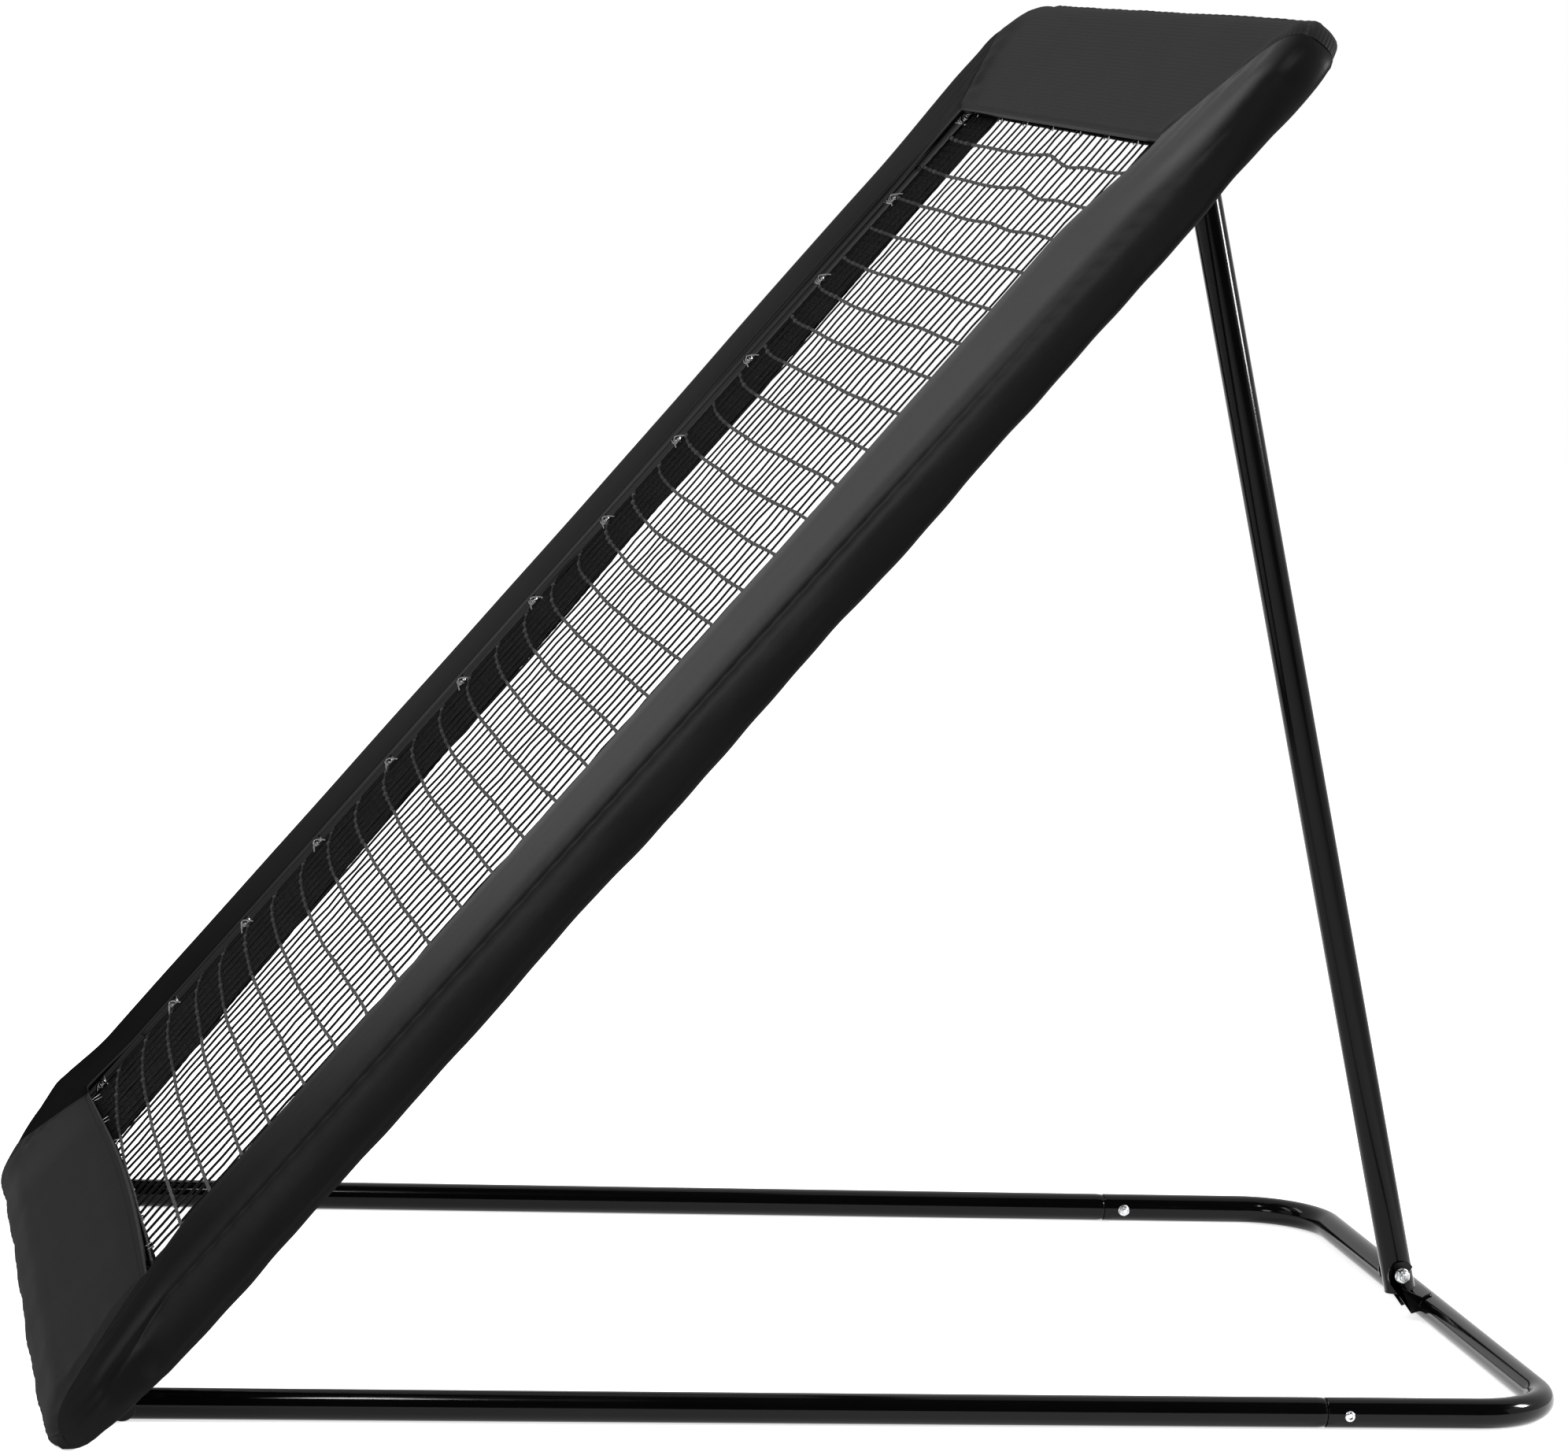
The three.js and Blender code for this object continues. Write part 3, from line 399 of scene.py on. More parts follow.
def weld(path, radius, seed):
    """A bead of overlapping scales along a path of points"""
    path = np.asarray(path, float)
    step = np.linalg.norm(np.diff(path, axis=0), axis=1)
    at = np.concatenate([[0], np.cumsum(step)])
    where = np.arange(0, at[-1], 0.0006)
    centre = np.stack([np.interp(where, at, path[:, k]) for k in range(3)], 1)
    rng = np.random.default_rng(seed)
    swell = 1 + 0.16 * np.abs(np.sin(np.pi * where / 0.0028)) + 0.05 * rng.standard_normal(len(where))
    swell *= np.minimum(1, np.minimum(where, at[-1] - where) / 0.003 + 0.25)
    tangent = np.gradient(centre, axis=0)
    tangent /= np.linalg.norm(tangent, axis=1)[:, None]
    turn = np.arange(8) * np.pi / 4
    made = []
    for c, t, s in zip(centre, tangent, swell):
        side = np.cross(t, (1.0, 0.13, 0.07))
        side /= np.linalg.norm(side)
        other = np.cross(t, side)
        made.append(c + radius * s * (np.cos(turn)[:, None] * side + np.sin(turn)[:, None] * other))
    return capped(made)


def on_circle(centre, radius, angles):
    """Points at these angles of a circle, in (y, z)"""
    return [centre + radius * np.array([math.cos(a), math.sin(a)]) for a in angles]


plate, weld_radius = 0.003, 0.0017


def clevis(node, x, tube, pin, gap, cheek, body, back=None, slot=None, hole=0.0054, trim=0.0):
    """Two cheeks of that radius, a gap apart, round a pin, and their saddle on a tube. tube and pin are (y, z),
    back points from the pin to the tube and slot out through the open side, and trim shortens a corner."""
    tube, pin = np.asarray(tube, float), np.asarray(pin, float)
    run = np.linalg.norm(tube - pin)
    back = (tube - pin) / run if back is None else np.asarray(back, float)
    across = np.array([-back[1], back[0]])
    arc = math.atan2(across[1], across[0]) + np.linspace(0, np.pi, 25)
    outline = on_circle(pin, cheek, arc)
    if slot is not None:
        way, spread = math.atan2(slot[1], slot[0]), math.asin(hole / cheek)
        from_slot = np.abs((arc - way + np.pi) % (2 * np.pi) - np.pi)
        outline = (on_circle(pin, cheek, [way - spread]) +
                   on_circle(pin, hole, way - np.pi / 2 - np.linspace(0, np.pi, 13)) +
                   on_circle(pin, cheek, [way + spread]) +
                   [p for p, a in zip(outline, from_slot) if a > spread + 0.02])
    outline += [pin - across * cheek + back * (run - trim), pin + across * cheek + back * run]
    parts = []
    for sx in (-1, 1):
        inside, outside = x + sx * gap / 2, x + sx * (gap / 2 + plate)
        parts.append(plate_piece(outline, min(inside, outside), max(inside, outside)))
    angle = math.atan2(*(pin - tube)[::-1])
    span = math.asin(min(1, cheek / (tube_radius + plate))) * (0.6 if trim else 1)
    turn = angle + np.linspace(-span, span, 15)
    saddle = on_circle(tube, tube_radius + plate, turn) + on_circle(tube, tube_radius + seam_gap, turn[::-1])
    parts.append(plate_piece(saddle, x - gap / 2 - plate, x + gap / 2 + plate))
    for k, sx in enumerate((-1, 1)):
        edge = x + sx * (gap / 2 + plate)
        parts.append(weld([(edge + sx * 0.0004, *p) for p in on_circle(
            tube, tube_radius + 0.0006, angle + np.linspace(-span, span, 20))], weld_radius, 11 + k))
    points, faces = merge(parts)
    build(node + "_visual", points, faces, paint, body, [node])


leg_cheek, leg_gap, foot_at, back_angle = 0.019, 0.0432, (0.894656, 0.065), math.radians(52)
clevis("rear_leg_bracket", 0, (rear_y, tube_radius), foot_at, leg_gap, leg_cheek, "base",
       back=(math.cos(back_angle), -math.sin(back_angle)), slot=(-0.625, -0.781), trim=0.013)

# ---------------------------------------------------------------- panel frame
# Bottom and top U tubes and two side tubes with drawn ends, all 38 mm, in one plane that leans
# 50.65 degrees. s runs up the panel from the bottom tube's axis and q out of it.
lean = math.radians(50.65)
panel_origin = np.array([0, -0.916889, 0.030482])
panel_up = np.array([0, math.cos(lean), math.sin(lean)])
panel_out = np.array([0, -math.sin(lean), math.cos(lean)])


def pan(x, s, q):
    """A point of the panel, or many, in the row frame"""
    x, s, q = np.broadcast_arrays(np.asarray(x, float), np.asarray(s, float), np.asarray(q, float))
    beside = panel_origin + x[..., None] * np.array([1, 0, 0])
    return beside + s[..., None] * panel_up + q[..., None] * panel_out


side_x, panel_length, panel_arm, frame_bend, frame_sides = 0.712, 2.153, 0.25, 0.07, 36
for name, bar, arm in (("bottom", 0.0, panel_arm), ("top", panel_length, panel_length - panel_arm)):
    line = [(pan(x, s, 0), np.array([dx, 0, 0]) + ds * panel_up)
            for (x, s), (dx, ds) in u_line(side_x, arm, bar, frame_bend)]
    swept(name + "_frame_tube", hollow(line, tube_radius, tube_bore), panel_out, frame_sides, paint, "panel")
for side, sx in (("left", -1), ("right", 1)):
    low, high = panel_arm + seam_gap, panel_length - panel_arm - seam_gap
    drawn = drawn_end(tube_radius, swage, shoulder)
    outline = [(low - swage_run, swage)] + [(low + back, r) for back, r in reversed(drawn)]
    outline += [(high - back, r) for back, r in drawn] + [(high + swage_run, swage)]
    outline += [(s, r - wall) for s, r in reversed(outline)]
    stations = [(pan(sx * side_x, s, 0), panel_up, r) for s, r in outline]
    swept(f"{side}_side_tube", stations, panel_out, frame_sides, paint, "panel")

# ---------------------------------------------------------------- hinge brackets
# Painted steel, one welded under each end of the bottom tube: cheeks either side of the rail, with a
# zinc-plated bolt through both that the panel turns on.
hinge, hinge_gap, hinge_cheek, hinge_reach = (hinge_y, tube_radius), 0.0392, 0.017, 0.0229
for side, sx in (("left", -1), ("right", 1)):
    clevis(f"{side}_hinge_bracket", sx * rail_x, panel_origin[1:], hinge, hinge_gap, hinge_cheek, "panel")
    fastener(f"{side}_hinge", small_bolt, (sx * (rail_x + hinge_reach), *hinge),
             (sx * (rail_x - hinge_reach), *hinge), "panel", sx)

# ---------------------------------------------------------------- leg top bracket
# The same kind of painted clevis, welded behind the middle of the top tube. A larger bolt through its
# cheeks is the leg's upper pivot.
top_axis = pan(0, panel_length, 0)[1:]
top_pivot, leg_reach = (0.486897, 1.663666), 0.0249
clevis("leg_top_bracket", 0, top_axis, top_pivot, leg_gap, leg_cheek, "panel")
fastener("top_pivot", large_bolt, (-leg_reach, *top_pivot), (leg_reach, *top_pivot), "panel", -1)

# ---------------------------------------------------------------- leg
# A single 42 mm steel tube in black paint, a little less glossy than the base's, with a plastic plug
# pushed into each end. The foot bolt goes through its lower end.
leg_paint = material("leg_paint", paint_dark, paint_light, (0.11, 0.15), peel, peel_depth, specular=0.1)
foot_pivot, leg_top = np.array([0, *foot_at]), np.array([0, *top_pivot])
leg_way = (foot_pivot - leg_top) / np.linalg.norm(foot_pivot - leg_top)
leg_ends = leg_top - leg_way * 0.016, foot_pivot + leg_way * 0.024
line = [(at, leg_way) for at in (leg_ends[0], leg_top + leg_way * 0.5, leg_ends[1])]
swept("leg_tube", hollow(line, 0.021, 0.0195), (1, 0, 0), 48, leg_paint, "leg")
for name, at, way in (("leg_top_plug", leg_ends[0], leg_way), ("leg_foot_plug", leg_ends[1], -leg_way)):
    outline = [(-0.0028, 0.0001), (-0.0027, 0.009), (-0.0023, 0.0162), (-0.002, 0.0195), (-0.0014, 0.0208),
               (-0.0008, 0.0211), (-0.0003, 0.021), (-0.0003, 0.0192), (0.008, 0.019), (0.008, 0.0001)]
    stations = [(at + way * d, way, r) for d, r in outline]
    swept(name, stations, (1, 0, 0), plug_sides, plastic, "leg", closed=False)
fastener("foot", large_bolt, (-leg_reach, *foot_at), (leg_reach, *foot_at), "leg", -1)

# ---------------------------------------------------------------- springs
# Zinc-plated extension springs, 13 on each side and 8 at each end: a close coil with drawn-in cones,
# a hook inside the tube and a round hook that pulls on a wire ring in the net's edge.
net_inset, net_rise, net_half = 0.144, 0.013, 0.568
wire_radius, wire_sides, coil_radius, side_margin, end_margin = 0.00125, 6, 0.0065, 0.0265, 0.0395


def spring_line():
    """The wire from inside the tube, round 33 turns and over the net's edge; x from the tube's axis, z out"""
    bore = math.sqrt(tube_bore ** 2 - net_rise ** 2)
    points = [(bore - 0.005, 0, -0.0064), (bore - 0.0046, 0, -0.0026), (bore - 0.002, 0, 0),
              (0.0235, 0, 0.0002)]
    first, last, turns, steps = 0.028, 0.116, 33, 12
    for k in range(turns * steps + 1):
        share = k / (turns * steps)
        cone = min(1.0, 0.22 + 0.78 * min(k, turns * steps - k) / (2.2 * steps))
        angle, radius = 2 * math.pi * k / steps, coil_radius * cone
        points.append((first + (last - first) * share, radius * math.sin(angle), radius * math.cos(angle)))
    points += [(0.1195, 0, 0.0012), (0.127, 0, 0.0006), (0.134, 0, 0.0012)]
    middle, reach = 0.1443, 0.0066
    for angle in np.radians(np.arange(165, -151, -18)):
        points.append((middle + reach * math.cos(angle), 0, reach * 0.82 * math.sin(angle)))
    return np.array(points)


def wire(points, radius, sides):
    """Points and faces of a round wire along points, carried without twist"""
    points = np.asarray(points, float)
    tangent = np.gradient(points, axis=0)
    tangent /= np.linalg.norm(tangent, axis=1)[:, None] + 1e-12
    side = np.array([0.0, 1.0, 0.0]) if abs(tangent[0][1]) < 0.9 else np.array([0.0, 0.0, 1.0])
    turn = np.arange(sides) * 2 * np.pi / sides
    radii = np.broadcast_to(radius, len(points))
    made = []
    for p, t, r in zip(points, tangent, radii):
        side = side - t * (side @ t)
        side /= np.linalg.norm(side)
        made.append(p + r * (np.cos(turn)[:, None] * side + np.sin(turn)[:, None] * np.cross(t, side)))
    return capped(made)


side_places = np.linspace(net_inset + side_margin, panel_length - net_inset - side_margin, 13)
end_places = np.linspace(end_margin - net_half, net_half - end_margin, 8)
# The springs' metal is much darker than the bolts' zinc: painted shade from the pads above them.
spring_steel_painted_shade = material("spring_steel_painted_shade", (0.07, 0.07, 0.072), (0.24, 0.24, 0.245), (0.16, 0.3), 2600, 0.00002,
                        drift=260, metallic=1.0)
half_ring = [(0.1655, -0.0088, 0.0004), (0.164, -0.0112, 0.0012), (0.152, -0.0074, 0.0048),
             (0.1425, -0.0026, 0.0078), (0.1405, 0, 0.0084)]
ring = half_ring + [(x, -y, z) for x, y, z in half_ring[-2::-1]]
coil_points, coil_faces = merge([wire(line, wire_radius, wire_sides) for line in (spring_line(), ring)])


def spring(name, across, up, at, nodes=()):
    """One spring from the tube's axis at a panel place, pointing along (across, up), and the ring it holds"""
    inward = across * np.array([1.0, 0, 0]) + up * panel_up
    beside = np.cross(panel_out, inward)
    placed = at + coil_points @ np.array([inward, beside, panel_out])
    build(name, placed, coil_faces, spring_steel_painted_shade, "panel", nodes, 80)


for side, sx in (("left", -1), ("right", 1)):
    for k, s in enumerate(side_places):
        node = f"{side}_spring_{k + 1:02d}"
        spring(node + "_visual", -sx, 0, pan(sx * side_x, s, net_rise), [node])
for end, s, up in (("bottom", 0.0, 1), ("top", panel_length, -1)):
    for k, x in enumerate(end_places):
        spring(f"{end}_end_spring_{k + 1}", 0, up, pan(x, s, net_rise))

# ---------------------------------------------------------------- net
# A ball net hung between two woven side bands: 32 thin black cords up the panel, 32 thicker twisted
# grey cords across it that run on over the bands as chains, and a knot at every crossing.
rng = np.random.default_rng(7)
warp_pitch, warp_half, cross_cords, band_points = 0.035, 0.473, 32, 200
# The inner edges of the bands: the dark left one, which runs in towards the bottom, and the right one. The
# left band is partly the woven band and partly painted shade in the shadowed gap under the far pad.
edge_s = (0.14, 0.30, 0.40, 0.50, 0.60, 0.70, 0.90, 1.10, 1.20, 1.50, 1.80, 2.01)
edge_x = (0.235, 0.252, 0.280, 0.288, 0.308, 0.315, 0.333, 0.345, 0.361, 0.374, 0.397, 0.405)
near_edge = 0.44


def off_band(x, s):
    """How far a place is from the bands, inside the open net; negative on a band"""
    return np.where(x < 0, np.interp(s, edge_s, edge_x) + x, near_edge - x)


net_low, net_high = net_inset, panel_length - net_inset
cross_at = np.interp(np.arange(cross_cords), (0, 1, 2, 3, 4, 5, 6, 26, 27, 28, 29, 30, 31),
                     (0.164, 0.219, 0.271, 0.329, 0.380, 0.440, 0.496, 1.657, 1.714, 1.773, 1.829, 1.885, 1.942))


def cross_line(k, x):
    """How far up the panel the k-th cross cord lies at x: the lowest ones droop towards the far band"""
    droop = np.interp(cross_at[k], (0.16, 0.30, 0.38, 0.44, 0.5), (0.030, 0.027, 0.018, 0.005, 0.0))
    far, near = np.clip(-x / 0.45, 0, 1.3), np.clip(x / 0.42, 0, 1.3)
    wave = 0.0011 * np.sin(9.0 * x + 1.7 * k) + 0.0006 * np.sin(23.0 * x + 0.9 * k)
    line = cross_at[k] + droop * (0.55 * far ** 1.3 - 0.22 * near) + wave
    pull = np.interp(cross_at[k], (0.16, 0.5, 1.1, 1.8), (0.55, 1.0, 1.0, 0.12))
    line = line + pull * (0.085 * np.clip(0.1 - x, 0, 1) ** 3 + 0.024 * np.exp(-(x + net_half) / 0.034))
    bumps = {31: 1.0, 30: 0.75, 29: 0.35}.get(k, 0.0)
    raised, dipped = np.exp(-((x - 0.03) / 0.055) ** 2), np.exp(-((x - 0.17) / 0.05) ** 2)
    return line + bumps * (0.0065 * raised - 0.0048 * dipped)


def net_height(x, s):
    """The net's own slight unevenness out of its plane"""
    edge = np.clip(off_band(x, s) / 0.05, 0, 1)
    return net_rise + edge * (0.0011 * np.sin(5.1 * s + 3.3 * x) + 0.0006 * np.sin(17 * s - 11 * x))


def cords(lines, radius, sides, lobes=0.0, lay=0.012):
    """Cords along many lines of points at once. Two radii are for low and high on the panel, and lobes is the
    depth of a two-strand twist of that lay."""
    points, faces, caps, first = [], [], [], 0
    turn = np.arange(sides) * 2 * np.pi / sides
    radii = radius if isinstance(radius, tuple) else (radius, radius)
    for line in lines:
        tangent = np.gradient(line, axis=0)
        tangent /= np.linalg.norm(tangent, axis=1)[:, None]
        side = np.cross(tangent, panel_out)
        side /= np.linalg.norm(side, axis=1)[:, None]
        over = np.cross(side, tangent)
        run = np.concatenate([[0], np.cumsum(np.linalg.norm(np.diff(line, axis=0), axis=1))])
        thick = np.interp(line @ panel_up - panel_origin @ panel_up, (0.2, 1.9), radii)
        r = thick[:, None] * (1 + lobes * np.cos(2 * (turn[None] - np.pi * run[:, None] / lay)))
        ring = line[:, None] + r[..., None] * (np.cos(turn)[None, :, None] * side[:, None] +
                                               np.sin(turn)[None, :, None] * over[:, None])
        count = len(line)
        points.append(ring.reshape(-1, 3))
        faces.append(grid(count, sides, False, True, first))
        caps += end_caps(count, sides, first)
        first += count * sides
    return np.concatenate(points), np.concatenate(faces).tolist() + caps


warp_x = np.arange(-warp_half - 2 * warp_pitch, warp_half + 2.5 * warp_pitch, 2 * warp_half / 27)
lines = []
for i, x0 in enumerate(warp_x):
    crossings = [float(cross_line(k, np.array(x0))) for k in range(cross_cords)]
    nodes_s = np.concatenate([[net_low + 0.006], crossings, [net_high - 0.006]])
    shift = rng.normal(0, 0.0011, len(nodes_s))
    s = np.sort(np.concatenate([nodes_s, (nodes_s[1:] + nodes_s[:-1]) / 2, nodes_s[1:-1] - 0.006,
                                nodes_s[1:-1] + 0.006]))
    x = x0 + np.interp(s, nodes_s, shift)
    near = np.min(np.abs(s[:, None] - nodes_s[None, 1:-1]), axis=1)
    x = x + 0.0016 * np.exp(-(near / 0.004) ** 2) * (1 if i % 2 else -1)
    on_band = np.clip(-off_band(x, s) / 0.004, 0, 1)
    uneven = 0.0005 * rng.standard_normal(len(s)) * (near > 0.01)
    lines.append(pan(x, s, net_height(x, s) - 0.0009 + uneven + 0.002 * on_band))
warp_points, warp_faces = cords(lines, (0.00175, 0.00135), 6)

lines = []
for k in range(cross_cords):
    x = np.arange(-net_half + 0.004, net_half - 0.003, 0.0024)
    on_band = np.clip(-off_band(x, cross_line(k, x)) / 0.01, 0, 1)
    zigzag = on_band * 0.0026 * (2 * np.abs((x / 0.011) % 1 - 0.5) - 0.5)
    rise = net_height(x, cross_line(k, x)) + 0.0013 + 0.0006 * on_band
    lines.append(pan(x, cross_line(k, x) + zigzag, rise))
weft_points, weft_faces = cords(lines, 0.0019, 8, 0.36)

# Rows of stitches that run up the bands beside the cords
lines = []
rows = [warp_x[:10] + warp_pitch * share for share in (0.3, 0.7)] + [warp_x[-4:] - warp_pitch * 0.5]
for x0 in np.concatenate(rows):
    s = np.arange(net_low + 0.004, net_high - 0.004, 0.0028)
    s = s[off_band(np.full_like(s, x0), s) < -0.006]
    if len(s) > 40 and abs(x0) < net_half - 0.006:
        s = s[:-1] if len(s) % 2 else s
        rise = net_height(x0, s) + 0.0014 + 0.0009 * np.sin(2 * np.pi * s / 0.0112)
        lines.append(pan(x0 + 0.0006 * np.sin(s * 31 + x0 * 90), s, rise))
stitch_points, stitch_faces = cords(lines, 0.0008, 5, 0.3, 0.0056)

# A knot is a small uneven ball
knot_rings, knot_sides = 5, 7
ball = np.array([(math.sin(a) * math.cos(b), math.sin(a) * math.sin(b), math.cos(a))
                 for a in np.linspace(0.35, math.pi - 0.35, knot_rings)
                 for b in np.arange(knot_sides) * 2 * math.pi / knot_sides])
ball_faces = grid(knot_rings, knot_sides, False, True)
knots, knot_faces, knot_caps = [], [], []
for k in range(cross_cords):
    for x in warp_x:
        size = np.array([0.0031, 0.0027, 0.0024]) * rng.uniform(0.8, 1.2)
        s = float(cross_line(k, np.array(x)))
        raised = 0.0018 * np.clip(-off_band(x, s) / 0.01, 0, 1)
        local = ball * size * (1 + 100 * raised) + rng.normal(0, 0.00018, ball.shape)
        first = len(knots) * len(ball)
        knots.append(pan(x + local[:, 0], s + local[:, 1], net_height(x, s) + 0.0006 + raised + local[:, 2]))
        knot_faces.append(ball_faces + first)
        knot_caps += end_caps(knot_rings, knot_sides, first)


def band(x_in, x_out, s_low, s_high, across=0.0035, along=0.007):
    """A woven strip between two edges, x_in and x_out, which may be arrays along it"""
    v = np.linspace(0, 1, int((s_high - s_low) / along) + 2)
    x_in, x_out = (np.interp(v, np.linspace(0, 1, len(edge)), edge)
                   for edge in map(np.atleast_1d, (x_in, x_out)))
    u = np.linspace(0, 1, int(np.max(np.abs(x_out - x_in)) / across) + 2)
    uu, vv = np.meshgrid(u, v, indexing="ij")
    x = x_in + uu * (x_out - x_in)
    s = s_low + vv * (s_high - s_low)
    tooth = 0.0035 * np.sin(s / 0.0171 + 2 * np.sin(s * 23)) + 0.002 * np.sin(s / 0.0047 + 1)
    x = x + (uu == 0) * tooth
    rib = np.abs(np.sin(np.pi * (x + warp_half) / warp_pitch))
    wave = 0.0008 * rib + 0.0003 * np.sin(2 * np.pi * s / 0.013 + 9 * rib)
    half = (0.0009 + wave) * np.where((uu == 0) | (uu == 1), 0.25, 1)
    rise = net_height(x, s)
    top, under = pan(x, s, rise + half), pan(x, s, rise - half)
    count_u, count_v = uu.shape
    size = count_u * count_v
    faces = grid(count_u, count_v).tolist() + [f[::-1] for f in grid(count_u, count_v, first=size).tolist()]
    rim = [i * count_v for i in range(count_u)] + [(count_u - 1) * count_v + j for j in range(1, count_v)]
    rim += [i * count_v + count_v - 1 for i in range(count_u - 2, -1, -1)] + list(range(count_v - 2, 0, -1))
    faces += [[a, a + size, b + size, b] for a, b in zip(rim, rim[1:] + rim[:1])]
    return np.concatenate([top.reshape(-1, 3), under.reshape(-1, 3)]), faces


all_knots = np.concatenate(knots), np.concatenate(knot_faces).tolist() + knot_caps
parts = [(warp_points, warp_faces), (weft_points, weft_faces), all_knots, (stitch_points, stitch_faces)]
where = np.linspace(net_low, net_high, band_points)
# Wide and near black, the left band stands partly for painted shade under the far pad.
parts.append(band(-np.interp(where, edge_s, edge_x), np.full(band_points, -net_half), net_low, net_high))
parts.append(band(np.full(band_points, near_edge), np.full(band_points, net_half), net_low, net_high))
for low, high in ((net_low, net_low + 0.018), (net_high - 0.018, net_high)):
    far_edge = float(np.interp(low, edge_s, edge_x))
    parts.append(band(-far_edge + 0.004, near_edge - 0.004, low, high, 0.012, 0.003))
cord_black = material("cord_black", (0.0012, 0.0012, 0.0012), (0.0035, 0.0035, 0.0036), (0.6, 0.75), 900, 0.0004,
                      drift=40, specular=0.06)
cord_grey = material("cord_grey", (0.022, 0.022, 0.0225), (0.05, 0.05, 0.051), (0.6, 0.8), 1400, 0.0003, drift=90,
                     specular=0.1)
# Near black: the bands' own weave, and painted shade on the wide left band.
band_weave_and_painted_shade = material("band_weave_and_painted_shade", (0.0006, 0.0006, 0.0006), (0.0022, 0.0022, 0.0023), (0.7, 0.85), 900, 0.0006,
                      drift=60, specular=0.02)
stitch_grey = material("stitch_grey", (0.004, 0.004, 0.004), (0.016, 0.016, 0.016), (0.6, 0.8), 700, 0.0003,
                       drift=120, specular=0.08)
points, faces = merge(parts)
net = build("net_visual", points, faces, cord_black, "panel", ["net"], 60)
for finish in (cord_grey, band_weave_and_painted_shade, stitch_grey):
    net.data.materials.append(finish)
# Each face's finish by its number above: the cross cords turn stitch grey where they run over a band
grey, weave, stitched = 1, 2, 3
kind = np.zeros(len(faces), int)
edges = np.cumsum([len(f) for _, f in parts])
kind[edges[0]:edges[2]] = grey
twisted = slice(edges[0], edges[1] - 2 * cross_cords)
cross = points[np.array(faces[twisted])[:, 0]]
kind[twisted][off_band(cross[:, 0], (cross - panel_origin) @ panel_up) < 0] = stitched
kind[edges[2]:edges[3]] = stitched
kind[edges[3]:] = weave
net.data.polygons.foreach_set("material_index", kind.astype(np.int32))

# ---------------------------------------------------------------- pads
# Four foam pads in black vinyl, mitred at the corners: a crowned face over the springs, a tight roll
# over the tube, a stitched seam under the roll and a skirt that bulges round the tube and hangs free.
pad_half, pad_low, pad_high, pad_width = 0.758, -0.046, 2.199, 0.205
pad_corner, pad_far_corner, pad_inner_corner = 0.076, 0.15, 0.006


def hermite(points, at, where, closed=False):
    """A smooth curve through points [n, ...] at parameters [n]; closed curves repeat their first point"""
    if closed:
        gap = closed
        points = np.concatenate([points[-2:], points, points[:3]])
        at = np.concatenate([at[-2:] - at[-1] - gap, at, at[:3] + at[-1] + gap])
    step = np.diff(at)
    slope = np.diff(points, axis=0) / step.reshape(-1, *[1] * (points.ndim - 1))
    left, right_ = (a.reshape(-1, *[1] * (points.ndim - 1)) for a in (step[:-1], step[1:]))
    inner = (slope[:-1] * right_ + slope[1:] * left) / (left + right_)
    tangent = np.concatenate([slope[:1], inner, slope[-1:]])
    k = np.clip(np.searchsorted(at, where, side="right") - 1, 0, len(at) - 2)
    h = step[k]
    t = ((where - at[k]) / h).reshape(-1, *[1] * (points.ndim - 1))
    h = h.reshape(t.shape)
    return ((2 * t ** 3 - 3 * t ** 2 + 1) * points[k] + (t ** 3 - 2 * t ** 2 + t) * h * tangent[k] +
            (3 * t ** 2 - 2 * t ** 3) * points[k + 1] + (t ** 3 - t ** 2) * h * tangent[k + 1])


def ripple(u, v, seed, count, low, high):
    """A smooth uneven surface of that many waves between two wavelengths, from about -1 to 1"""
    dice = np.random.default_rng(seed)
    total = 0
    for _ in range(count):
        wave, turn, shift = dice.uniform(low, high), dice.uniform(0, np.pi), dice.uniform(0, 6.28)
        total = total + np.sin(2 * np.pi / wave * (u * math.cos(turn) + v * math.sin(turn)) + shift)
    return total / math.sqrt(count) / 1.4


# Sections, as (distance from the inner edge, height over the frame's middle plane) in mm from the inner
# hem over the face to the seam: the end pads', the left pad's, and the right pad's at its two ends.
# After the seam come (distance, share of the side's drop) and, last, the underside.
faces_at = {
    "end": [(6, 24.4), (1.5, 25.2), (-0.6, 28), (-0.2, 32), (4, 35.2), (18, 37), (50, 38.6), (95, 40), (135, 40.8),
            (162, 40.8), (179, 39.2), (191, 35.2), (199, 28.6), (203, 21)],
    "left": [(39, 20.6), (34, 19.6), (30.2, 20), (29.2, 22), (31.6, 25.2), (42, 29.2), (68, 32.8), (104, 34.2),
             (137, 33.8), (160, 32), (176, 29.6), (188, 25.6), (196.5, 20.5), (201, 15.5)],
    "right_low": [(6, 31), (1, 32), (-1.5, 35.5), (-1.2, 40.6), (3, 44), (17, 46.2), (44, 46.6), (68, 45.4),
                  (88, 43.6), (105, 41.2), (119, 38.4), (131, 35.6), (140.5, 32.8), (148, 30)],
    "right_high": [(6, 36), (-1, 37), (-4.4, 41), (-4.8, 46.4), (0, 50.4), (14, 51.5), (42, 48), (72, 42.4),
                   (98, 36.6), (119, 31.6), (136, 28), (149, 26), (159, 24), (167, 21.6)]}
